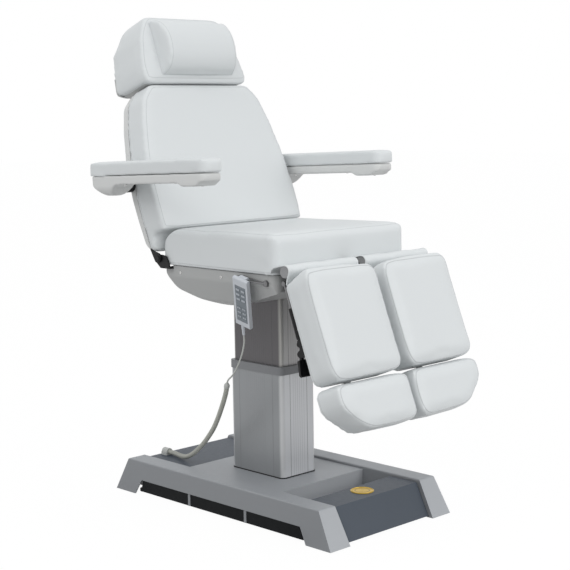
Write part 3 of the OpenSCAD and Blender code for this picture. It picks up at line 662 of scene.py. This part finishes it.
def leg_plane(forward):
    """A point of the plane that lies this far in front of the knee rod and the leg frame."""
    return Vector(knee_rod) + leg_out * forward


def mirrored(piece, name, node):
    """The same piece for the right-hand side, in place of that side's node."""
    mesh = piece.data.copy()
    mesh.transform(Matrix.Scale(-1, 4, (1, 0, 0)))
    mesh.flip_normals()
    other = new_piece(name, mesh)
    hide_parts(node)
    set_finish(other, piece["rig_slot"])
    return other


def padded_pair(node, *way_of_stuffing):
    """The left-hand pad and the right-hand one."""
    left = stuffed(node + "_left", *way_of_stuffing)
    other = mirrored(left, node + "_right_vinyl", node + "_right")
    return ("left", left), ("right", other)


# Each seam's plane, how far in from the edge it runs on the front, and its bead's radius.
calf_seams = ((0.055, 0.007, 0.0019), (0.018, 0, 0.0011))
foot_seams = ((0.060, 0.008, 0.0019), (0.020, 0, 0.0011))
for part, carrier, rise, soften, seams in (("calf", "leg_", 0.005, 6, calf_seams),
                                           ("foot", "foot_", 0.004, 5, foot_seams)):
    for side, pad in padded_pair(part + "_pad", 0.002, rise, leg_out, 0.0055, soften):
        vinyl.give(pad)
        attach(pad, carrier + side)
        for i, (forward, inset, bead) in enumerate(seams):
            seam("%s_pad_%s_welt_%d" % (part, side, i), pad, leg_plane(forward), leg_out, inset,
                 carrier + side, bead)


# ---------------------------------------------------------------- Arm pads
# Narrow foam pads in vinyl on the arm mouldings, with rounded corners and a fine shadow
# gap above the moulding.
for side, pad in padded_pair("arm_pad", 0.0012, 0.003, sky_way, 0.004, 4):
    vinyl.give(pad)
    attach(pad, "arm_" + side)


# ---------------------------------------------------------------- Knee flaps
# On each side a sheet of vinyl, stapled under the front of the seat, wraps the foam knee
# roll and hangs down to the back edge of the calf pad. Its hemmed ends gather it a little.
flap_points = [(0, -.2605, .7720), (0, -.2635, .7805), (0, -.2710, .7870), (0, -.2860, .7920),
               (0, -.3020, .7960), (0, -.3160, .7988), (0, -.3265, .7970), (0, -.3335, .7900),
               (0, -.3345, .7805), (0, -.3310, .7710), (0, -.3270, .7620), (0, -.3248, .7525),
               (0, -.3235, .7440)]
flap_step, flap_columns = 0.003, 90
flap_line = round_line(flap_points, flap_step)
flap_length = sum((b - a).length for a, b in zip(flap_line, flap_line[1:]))
flap_inner, flap_outer = 0.0145, 0.2945
flap_thick, hem_thick, hem_wide = 0.0014, 0.0034, 0.004
gather_height, gather_reach, gather_wave = 0.0011, 0.022, 700
foam_at, foam_radius, foam_edge, foam_inset = (-.3140, .7795), 0.0175, 0.0012, 0.0025
foam_rings, foam_sides = 60, 36


def flap_sheet(name, x0, x1):
    """The closed thin sheet, gathered near its ends and flat where it is stapled. Between
    the gathers it carries two long shallow waves."""
    bm = bmesh.new()
    last = len(flap_line) - 1
    faces = ([], [])
    for i, point in enumerate(flap_line):
        way = (flap_line[min(i + 1, last)] - flap_line[max(i - 1, 0)]).normalized()
        out = Vector((0, way.z, -way.y))
        loose = math.sin(math.pi * i / last)
        outer, inner = [], []
        for k in range(flap_columns + 1):
            x = x0 + (x1 - x0) * (0.5 - 0.5 * math.cos(math.pi * k / flap_columns))
            near = min(x - x0, x1 - x)
            gather = gather_height * math.exp(-near / gather_reach) * math.sin(gather_wave * x + 0.12 * i)
            slack = 0.0008 * math.sin(47 * x + 0.22 * i) + 0.0005 * math.sin(113 * x - 0.17 * i)
            lie = loose * (gather + slack * min(1, near / 0.03))
            half = flap_thick / 2
            if near < hem_wide:
                half += (hem_thick - flap_thick) / 2 * math.sin(math.pi * near / hem_wide)
            at = Vector((x, point.y, point.z)) + out * lie
            outer.append(bm.verts.new(at + out * half))
            inner.append(bm.verts.new(at - out * half))
        faces[0].append(outer)
        faces[1].append(inner)
    for rows in faces:
        for a, b in zip(rows, rows[1:]):
            for k in range(flap_columns):
                bm.faces.new((a[k], a[k + 1], b[k + 1], b[k]))
    outer, inner = faces
    for i in (0, -1):
        for k in range(flap_columns):
            bm.faces.new((outer[i][k], outer[i][k + 1], inner[i][k + 1], inner[i][k]))
    for k in (0, -1):
        for i in range(last):
            bm.faces.new((outer[i][k], outer[i + 1][k], inner[i + 1][k], inner[i][k]))
    bmesh.ops.recalc_face_normals(bm, faces=bm.faces)
    for face in bm.faces:
        face.smooth = True
    return built(name, bm)


def knee_roll(name, x0, x1):
    """A round foam roll, narrowed a little at its ends and a little shorter than its flap."""
    start, length = x0 + foam_inset, x1 - x0 - 2 * foam_inset
    line = [Vector((start + length * k / foam_rings, *foam_at)) for k in range(foam_rings + 1)]
    ring = length / foam_rings

    def radius(s):
        at_end = s < ring / 2 or s > length - ring / 2
        return foam_radius - foam_edge * at_end

    return tube(name, line, radius, foam_sides)[0]


# The roll's mid grey is painted shade: it stands for the shade inside the open ends of the flap.
foam = Finish("Roll_foam_painted_shade", (0.36, 0.36, 0.365), 0.85)
foam.tint(foam.cells(900), (0.29, 0.29, 0.295))
foam.relief(foam.cells(700), 0.0006, 0.7)
for side, x0, x1 in (("left", flap_inner, flap_outer), ("right", -flap_outer, -flap_inner)):
    flap = flap_sheet("leg_flap_%s_vinyl" % side, x0, x1)
    vinyl.give(flap)
    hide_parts("leg_flap_" + side)
    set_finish(flap, "upholstery")
    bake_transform(flap)
    roll = knee_roll("knee_roll_foam_" + side, x0, x1)
    foam.give(roll)
    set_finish(roll, "black_rubber")
    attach(roll, "seat")


# ---------------------------------------------------------------- Arm mouldings
# Thick plastic mouldings under the arm pads, with a deep rear boss over the hinge
# and a small front boss. Every edge is rounded, as moulded.
def moulded(name, node, voxel, soften):
    """A CAD block remade with soft moulded edges, in the same place."""
    piece = new_piece(name, even_mesh(node, voxel))
    smooth_mesh(piece, soften)
    piece.data.shade_smooth()
    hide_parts(node)
    return piece


def formed_plastic(name, colour, duller):
    """Smooth plastic with a faint mottle, uneven gloss and a fine grain."""
    made = Finish(name, colour, 0.42, Specular_IOR_Level=0.45)
    made.tint(0.4 * made.noise(6, 3), duller)
    made.polish(0.36 + 0.16 * made.noise(90, 3))
    made.relief(made.noise(1300, 2, 0.6), 0.00012, 0.5)
    return made


shell_plastic = formed_plastic("Shell_off_white_plastic", (0.68, 0.685, 0.675), (0.64, 0.645, 0.64))
left = moulded("arm_housing_left_moulded", "arm_housing_left", 0.003, 7)
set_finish(left, "shell_plastic")
other = mirrored(left, "arm_housing_right_moulded", "arm_housing_right")
for side, housing in (("left", left), ("right", other)):
    shell_plastic.give(housing)
    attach(housing, "arm_" + side)


# ---------------------------------------------------------------- Seat and back shells
# Vacuum-formed plastic covers, a white one behind the back and one under the seat painted a
# darker grey as painted shade. They and the arm mouldings are held by cross-head screws.
shell_plastic.give("back_shell")
# Painted shade: the cover under the seat is painted a darker grey than the one behind the back, for the
# shade it lies in.
shaded_seat_shell_plastic = formed_plastic("Seat_shell_painted_shade_plastic", (0.45, 0.455, 0.45), (0.42, 0.425, 0.42))
shaded_seat_shell_plastic.give("seat_shell")


def set_out_tree():
    """Geometry nodes: a small part on each point, turned to the wall it sits on."""
    tree = bpy.data.node_groups.new("Set_out", "GeometryNodeTree")
    face = tree.interface
    face.new_socket("Geometry", in_out="INPUT", socket_type="NodeSocketGeometry")
    head = face.new_socket("Head", in_out="INPUT", socket_type="NodeSocketObject")
    size = face.new_socket("Size", in_out="INPUT", socket_type="NodeSocketFloat")
    cover = face.new_socket("Finish", in_out="INPUT", socket_type="NodeSocketMaterial")
    face.new_socket("Geometry", in_out="OUTPUT", socket_type="NodeSocketGeometry")
    add, link = tree.nodes.new, tree.links.new
    start, end = add("NodeGroupInput"), add("NodeGroupOutput")
    info, put = add("GeometryNodeObjectInfo"), add("GeometryNodeInstanceOnPoints")
    wall, turn = add("GeometryNodeInputNamedAttribute"), add("FunctionNodeAlignRotationToVector")
    wall.data_type = "FLOAT_VECTOR"
    wall.inputs["Name"].default_value = "wall"
    turn.axis = "Z"
    realize, paint = add("GeometryNodeRealizeInstances"), add("GeometryNodeSetMaterial")
    link(start.outputs["Geometry"], put.inputs["Points"])
    link(start.outputs["Head"], info.inputs["Object"])
    link(info.outputs["Geometry"], put.inputs["Instance"])
    link(wall.outputs["Attribute"], turn.inputs["Vector"])
    link(turn.outputs["Rotation"], put.inputs["Rotation"])
    link(start.outputs["Size"], put.inputs["Scale"])
    link(put.outputs["Instances"], realize.inputs["Geometry"])
    link(realize.outputs["Geometry"], paint.inputs["Geometry"])
    link(start.outputs["Finish"], paint.inputs["Material"])
    link(paint.outputs["Geometry"], end.inputs["Geometry"])
    return tree, head.identifier, size.identifier, cover.identifier


def screw_head():
    """A pan head of radius 1 with a cross recess, lying in the XY plane."""
    sides, top_height, recess_height, recess_narrowing = 16, 0.52, 0.12, 0.8
    head_profile = ((1.0, -0.2), (1.0, 0.22), (0.86, 0.42), (0.62, top_height))
    arm_corners = (0.5, 0.16, 0.16, 0.5)
    bm = bmesh.new()

    def around(k, r, z):
        turn = math.tau * k / sides
        return bm.verts.new((r * math.cos(turn), r * math.sin(turn), z))

    rings = [[around(k, r, z) for k in range(sides)] for r, z in head_profile]
    cross = [around(k + 0.5, r, top_height) for k, r in enumerate(arm_corners * 4)]
    bottom = [bm.verts.new((v.co.x * recess_narrowing, v.co.y * recess_narrowing, recess_height))
              for v in cross]
    for a, b in (*zip(rings, rings[1:]), (rings[-1], cross), (cross, bottom)):
        for k in range(sides):
            n = (k + 1) % sides
            bm.faces.new((a[k], a[n], b[n], b[k]))
    bm.faces.new(rings[0][::-1])
    bm.faces.new(bottom)
    bmesh.ops.recalc_face_normals(bm, faces=bm.faces)
    return built("screw_pattern", bm)


set_out = set_out_tree()
pattern = screw_head()
bright = Finish("Bright_steel", (0.62, 0.62, 0.61), 0.16, 1.0)
bright.polish(0.12 + 0.14 * bright.noise(160, 4))
bright.relief(bright.noise(700, 3), 0.00006, 0.5)


def placed(name, shape, spots, walls, size, finish):
    """The same small shape on each spot, turned to the wall there, as one piece."""
    mesh = bpy.data.meshes.new(name)
    mesh.from_pydata(spots, [], [])
    mesh.attributes.new("wall", "FLOAT_VECTOR", "POINT").data.foreach_set(
        "vector", np.array(walls, np.float32).ravel())
    piece = new_piece(name, mesh)
    tree, head_at, size_at, finish_at = set_out
    make = piece.modifiers.new("set_out", "NODES")
    make.node_group = tree
    make[head_at], make[size_at], make[finish_at] = shape, size, finish.material
    settle(piece)
    return piece


def screw_on(name, node, aims, size, body):
    """Screws where lines, each a start and a direction, first meet the walls of a CAD node."""
    wall = bmesh.new()
    wall.from_mesh(solids[node].data)
    skin = BVHTree.FromBMesh(wall)
    wall.free()
    found = [skin.ray_cast(Vector(start), Vector(way).normalized())[:2] for start, way in aims]
    spots, walls = zip(*[f for f in found if f[0] is not None])
    piece = placed(name, pattern, spots, walls, size, bright)
    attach(piece, body)
    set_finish(piece, "bright_steel")


# Each line starts well outside the piece and runs towards it.
hull_aims = [((s * .4, y, .742), (-s, 0, 0)) for s in (-1, 1) for y in (-.02, .165)]
back_aims = [((x, .9, z), (0, -1, 0)) for x in (-.2, .2) for z in (.93, 1.12, 1.26)]
cover_screw_radius, arm_screw_radius = 0.0045, 0.004
screw_on("seat_shell_screws", "seat_shell", hull_aims, cover_screw_radius, "seat")
screw_on("back_shell_screws", "back_shell", back_aims, cover_screw_radius, "back")
for side, s in (("left", 1), ("right", -1)):
    arm_aims = [((s * .362, y, .7), (0, 0, 1)) for y in (.30, .06, -.06)]
    screw_on("arm_housing_screws_" + side, "arm_housing_" + side, arm_aims, arm_screw_radius,
             "arm_" + side)
bpy.data.objects.remove(pattern)


# ---------------------------------------------------------------- Base
# A moulded grey shell with two hollow side rails, slate covers at both ends and three toe
# pedals under each rail, on a black steel frame with four rubber feet.
base_paint = Finish("Base_light_grey", (0.45, 0.465, 0.485), 0.45, Specular_IOR_Level=0.45)
base_paint.tint(0.4 * base_paint.noise(4, 3), (0.40, 0.415, 0.435))
# Painted shade: faces that look up are painted darker, and faces that look to the sides darker still, for
# how the light falls on the base.
across, _, upright = base_paint.facing()
base_paint.tint((upright.most(0.0) ** 3.0) * 0.75, (0.31, 0.325, 0.345))
base_paint.tint((across.size() ** 2.0) * 0.9, (0.225, 0.233, 0.245))
base_paint.polish(0.40 + 0.16 * base_paint.noise(70, 4))
base_paint.relief(base_paint.noise(1100, 2, 0.65), 0.00016, 0.6)
base_paint.give("base_shell")
slate = Finish("Slate_plastic", (0.080, 0.095, 0.117), 0.5, Specular_IOR_Level=0.25)
slate.tint(0.5 * slate.noise(5, 3), (0.066, 0.079, 0.098))
slate.polish(0.42 + 0.16 * slate.noise(80, 4))
slate.relief(slate.cells(900, "SMOOTH_F1"), 0.00025, 0.6)
slate.give("front_cover", "rear_cover")
pedal_rubber = Finish("Pedal_black", (0.004, 0.005, 0.006), 0.6, Specular_IOR_Level=0.1)
pedal_rubber.polish(0.42 + 0.2 * pedal_rubber.noise(60, 4))
pedal_rubber.relief(pedal_rubber.cells(600), 0.0003, 0.6)
pedal_rubber.give(*["pedal_%s_%s" % (side, place) for side in ("left", "right")
                    for place in ("front", "middle", "rear")])
black_paint = Finish("Black_steel", (0.008, 0.008, 0.009), 0.42, Specular_IOR_Level=0.25)
black_paint.polish(0.34 + 0.2 * black_paint.noise(120, 4))
black_paint.relief(black_paint.noise(500, 3), 0.0002, 0.5)
black_paint.give("base_frame", "lift_motor", "column_top_plate", "seat_frame", "back_frame",
                 "leg_frame_left", "leg_frame_right", "gas_body_left", "gas_body_right")
foot_rubber = Finish("Foot_rubber", (0.01, 0.01, 0.01), 0.7)
foot_rubber.relief(foot_rubber.noise(400, 4), 0.0003, 0.6)
foot_rubber.give("levelling_feet")
black_plastic = Finish("Black_plastic", (0.008, 0.008, 0.009), 0.4, Specular_IOR_Level=0.25)
black_plastic.polish(0.30 + 0.2 * black_plastic.noise(200, 3))
black_plastic.relief(black_plastic.noise(900, 2), 0.00015, 0.5)
black_plastic.give("mains_inlet", "tilt_motor", "back_motor", "leg_lever_left", "leg_lever_right")
satin = Finish("Satin_steel", (0.20, 0.20, 0.205), 0.34, 1.0)
satin.polish(0.28 + 0.16 * satin.noise(180, 4))
satin.relief(satin.noise(600, 3), 0.00006, 0.5)
satin.give("handset_hook", "gas_rod_left", "gas_rod_right")
bright.give("pedal_shafts", "lift_spindle", "back_motor_rod", "headrest_posts",
            "foot_slide_left", "foot_slide_right")

# The gold disc is turned, so its marks are fine rings round its middle and one darker ring.
disc_middle, ring_wave, dark_ring, dark_ring_half_width = -0.328, 1400.0, 0.0215, 0.0016
gold = Finish("Gold_disc", (0.60, 0.41, 0.07), 0.32, 0.75)
off_x, disc_y, _ = gold.axes()
off_y = disc_y - disc_middle
radius = (off_x * off_x + off_y * off_y) ** 0.5
gold.relief((radius * ring_wave).wave(), 0.00035, 0.8)
ring = (radius - dark_ring).size().below(dark_ring_half_width)
gold.tint(ring, (0.33, 0.20, 0.02))
gold.polish(0.26 + 0.16 * gold.noise(150, 3))
gold.give("badge_disc")


# ---------------------------------------------------------------- Column
# Two aluminium extrusions, one sliding in the other, with fine lengthwise grooves. A grey
# plastic collar closes the top of the outer one, and a black gasket seals it to the deck.
column_middle = 0.05


def grooved(name, rough, metal, colour, side_shade, edge, darker, marks_x, marks_y):
    """Brushed aluminium with grooves at set places across its front and its sides. The sides take
    a painted shade, the rounded corners a painted highlight and the grooves a darker painted shade."""
    made = Finish(name, colour, rough, metal, Specular_IOR_Level=0.5)
    x, y, _ = made.axes()
    across, along, _ = made.facing()
    side, front = across.size(), along.size()
    lines = None
    for place, marks, share in ((x, marks_x, front), (y - column_middle, marks_y, side)):
        for at, half_width, depth in marks:
            groove = (place.size() - at).size().below(half_width) * share * depth
            lines = groove if lines is None else lines + groove
    lengthwise = made.node("ShaderNodeMapping", {}, Vector=made.place, Scale=(900, 900, 4))
    streaks = made.node("ShaderNodeTexNoise", {}, Scale=1.0, Detail=3.0, Vector=lengthwise.outputs[0])
    brushed = Number(made.tree, streaks.outputs[0])
    # Painted shade on the sides, a painted highlight on the rounded corners and painted shade in the
    # grooves.
    made.tint(side, side_shade)
    made.tint((side * front * 1.8).least(1.0) * 0.85, edge)
    made.tint(lines.least(1.0) * 0.8, darker)
    made.polish(rough - 0.06 + 0.14 * brushed)
    made.relief((lines * -1.0).most(-1.0), 0.0006, 0.8)
    made.relief(brushed, 0.00005, 0.5)
    return made


# Fine grooves lie 9 mm apart on both halves of a side, and a wide one near each corner. A
# groove is given by its distance from the middle, half its width and its depth from 0 to 1.
fine_pitch, fine_half_width, fine_depth = 0.009, 0.0006, 0.55
fine = [(k * fine_pitch + fine_pitch / 2, fine_half_width, fine_depth) for k in range(5)]
# Each extrusion's colours: its front, the painted shade of its sides, the painted highlight of its rounded
# corners and the painted shade of its grooves.
outer_alloy = grooved("Outer_column_alloy", 0.40, 0.35,
                      colour=(0.68, 0.69, 0.71), side_shade=(0.30, 0.31, 0.32),
                      edge=(0.66, 0.665, 0.67), darker=(0.24, 0.245, 0.255),
                      marks_x=fine[:3] + [(0.036, 0.0011, 1.0)],
                      marks_y=fine + [(0.075, 0.0012, 1.0)])
outer_alloy.give("column_outer")
inner_alloy = grooved("Inner_column_alloy", 0.36, 0.45,
                      colour=(0.41, 0.405, 0.405), side_shade=(0.115, 0.11, 0.115),
                      edge=(0.50, 0.495, 0.47), darker=(0.10, 0.10, 0.105),
                      marks_x=fine[:3] + [(0.034, 0.0010, 1.0)],
                      marks_y=fine + [(0.070, 0.0011, 1.0)])
inner_alloy.give("column_inner")
collar_plastic = Finish("Collar_grey", (0.215, 0.22, 0.23), 0.4)
collar_plastic.polish(0.34 + 0.16 * collar_plastic.noise(90, 3))
collar_plastic.relief(collar_plastic.noise(1200, 2), 0.0001, 0.5)
collar_plastic.give("column_collar")


def rounded_outline(half_width, half_depth, corner):
    """A rectangle with round corners, about the middle of the column."""
    points = []
    for across, along, first in ((1, 1, 0), (-1, 1, 90), (-1, -1, 180), (1, -1, 270)):
        for turn in range(first, first + 91, 15):
            a = math.radians(turn)
            points.append((across * (half_width - corner) + corner * math.cos(a),
                           along * (half_depth - corner) + corner * math.sin(a) + column_middle))
    return points


def band(name, inner, outer, low, high, slope):
    """A closed ring between two outlines, whose top slopes down to the outside."""
    bm = bmesh.new()
    rows = [[bm.verts.new((x, y, z)) for x, y in line]
            for line, z in ((inner, low), (outer, low), (outer, high - slope), (inner, high))]
    count = len(inner)
    for one, two in zip(rows, rows[1:] + rows[:1]):
        for k in range(count):
            n = (k + 1) % count
            bm.faces.new((one[k], one[n], two[n], two[k]))
    bmesh.ops.recalc_face_normals(bm, faces=bm.faces)
    return built(name, bm)


gasket_low, gasket_high, gasket_slope = 0.103, 0.1062, 0.0008
gasket = band("column_gasket", rounded_outline(.0722, .1157, .0142), rounded_outline(.0742, .1177, .0162),
              gasket_low, gasket_high, gasket_slope)
foot_rubber.give(gasket)
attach(gasket, "base")
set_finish(gasket, "black_rubber")


# ---------------------------------------------------------------- Head tray, clip and handset
# Small moulded parts: the pale tray under the head rest, the grey clip on the back's edge
# and the pale handset with its darker key sheet.
tray_plastic = Finish("Tray_light_grey_plastic", (0.50, 0.505, 0.50), 0.42)
tray_plastic.polish(0.36 + 0.18 * tray_plastic.noise(100, 3))
tray_plastic.relief(tray_plastic.noise(1000, 2), 0.00015, 0.5)
tray_plastic.give("headrest_shell")
clip_plastic = Finish("Clip_grey_blue", (0.18, 0.22, 0.245), 0.25, Coat_Weight=0.3)
clip_plastic.polish(0.22 + 0.1 * clip_plastic.noise(150, 2))
clip_plastic.give("side_clip")
case_plastic = Finish("Handset_light_grey", (0.60, 0.625, 0.665), 0.36)
case_plastic.polish(0.30 + 0.14 * case_plastic.noise(200, 3))
case_plastic.relief(case_plastic.noise(1500, 2), 0.00008, 0.5)
case_plastic.give("handset_case")
key_rubber = Finish("Key_sheet_grey", (0.20, 0.225, 0.25), 0.5)
key_rubber.polish(0.44 + 0.16 * key_rubber.noise(200, 3))
key_rubber.relief(key_rubber.noise(1500, 2), 0.0001, 0.5)
key_rubber.give("handset_keypad")
cap_rubber = Finish("Key_cap_light_grey", (0.47, 0.50, 0.54), 0.45)
cap_rubber.polish(0.38 + 0.16 * cap_rubber.noise(200, 3))

# The handset hangs from its hook, turned and leaning.
hook_end, turned_out, leaning = (-0.2855, -0.142, 0.747), math.radians(-20), math.radians(17)
hang = (Matrix.Translation(hook_end) @ Matrix.Rotation(turned_out, 4, "Y")
        @ Matrix.Rotation(leaning, 4, "X"))
key_sheet_face, cap_height, cap_edge = -0.0199, 0.0008, 0.0003


def key_caps(name, wide, tall, rows, columns):
    """Small bare key caps on the key sheet, all alike, set out in rows."""
    block = bmesh.new()
    bmesh.ops.create_cube(block, size=1.0, matrix=Matrix.Diagonal((cap_height, wide, tall, 1)))
    bmesh.ops.bevel(block, geom=block.edges[:], offset=cap_edge, segments=2, affect="EDGES")
    block.transform(hang.to_3x3().to_4x4())
    cap = built("cap", block)
    spots = [hang @ Vector((key_sheet_face, y, z)) for z in rows for y in columns]
    piece = placed(name, cap, spots, [sky_way] * len(spots), 1.0, cap_rubber)
    bpy.data.objects.remove(cap)
    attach(piece, "handset")
    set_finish(piece, "grey_plastic")


wide_rows, wide_columns = (-0.030, -0.046, -0.062), (-0.010, 0.010)
small_rows, small_columns = (-0.092, -0.107, -0.122), (-0.0135, -0.0065, 0.0065, 0.0135)
key_caps("handset_wide_keys", 0.0135, 0.0062, wide_rows, wide_columns)
key_caps("handset_small_keys", 0.0050, 0.0048, small_rows, small_columns)


# ---------------------------------------------------------------- Room
# A pale floor, an even pale surround and soft light from three large lamps. The camera and
# glossy surfaces see both as white, and the floor keeps a trace of the chair's shadow.
def seen_directly(tree):
    """1 where the camera or a glossy surface looks, and 0 for all other light."""
    ray = add_node(tree, "ShaderNodeLightPath", {}).outputs
    return Number(tree, ray["Is Camera Ray"]).most(Number(tree, ray["Is Glossy Ray"]))


floor_reach, floor_level, floor_glow, floor_glow_share = 30, -0.0004, 1.035, 0.94
floor_mesh = bpy.data.meshes.new("floor")
floor_corners = [(x * floor_reach, y * floor_reach, floor_level)
                 for x, y in ((-1, -1), (1, -1), (1, 1), (-1, 1))]
floor_mesh.from_pydata(floor_corners, [], [(0, 1, 2, 3)])
floor = new_piece("floor", floor_mesh)
floor_paint = Finish("Pale_floor", (0.50, 0.50, 0.50), 0.9, Specular_IOR_Level=0.1)
glow = floor_paint.node("ShaderNodeEmission", {}, Color=(1, 1, 1, 1), Strength=floor_glow)
mix = floor_paint.node("ShaderNodeMixShader", {}, seen_directly(floor_paint.tree) * floor_glow_share,
                       floor_paint.shader.outputs[0], glow.outputs[0])
floor_paint.tree.links.new(mix.outputs[0], floor_paint.tree.nodes["Material Output"].inputs["Surface"])
floor_paint.give(floor)

world = bpy.data.worlds.new("studio")
scene.world = world
world.use_nodes = True
sky = world.node_tree
surround = sky.nodes["Background"]
surround.inputs["Color"].default_value = (0.97, 0.985, 1, 1)
surround.inputs["Strength"].default_value = 0.74
white = add_node(sky, "ShaderNodeBackground", {}, Color=(1, 1, 1, 1), Strength=1.0)
either = add_node(sky, "ShaderNodeMixShader", {}, seen_directly(sky), surround.outputs[0],
                  white.outputs[0])
sky.links.new(either.outputs[0], sky.nodes["World Output"].inputs["Surface"])


def lamp(name, at, aim, wide, watts):
    """A large soft lamp, a little less tall than wide, turned towards a point."""
    light = bpy.data.lights.new(name, "AREA")
    light.shape, light.size, light.size_y = "RECTANGLE", wide, wide * 0.8
    light.energy = watts
    holder = bpy.data.objects.new(name, light)
    scene.collection.objects.link(holder)
    holder.location = at
    holder.rotation_euler = (Vector(aim) - Vector(at)).to_track_quat("-Z", "Y").to_euler()


lamp("key", (0.9, -5.0, 2.4), (0, 0, 0.8), 3.0, 72)
lamp("side", (-3.9, -0.6, 4.0), (0, 0, 0.9), 3.0, 50)
lamp("top", (0.2, -0.4, 4.8), (0, 0, 0.8), 3.2, 8)
scene.view_settings.view_transform = "Standard"
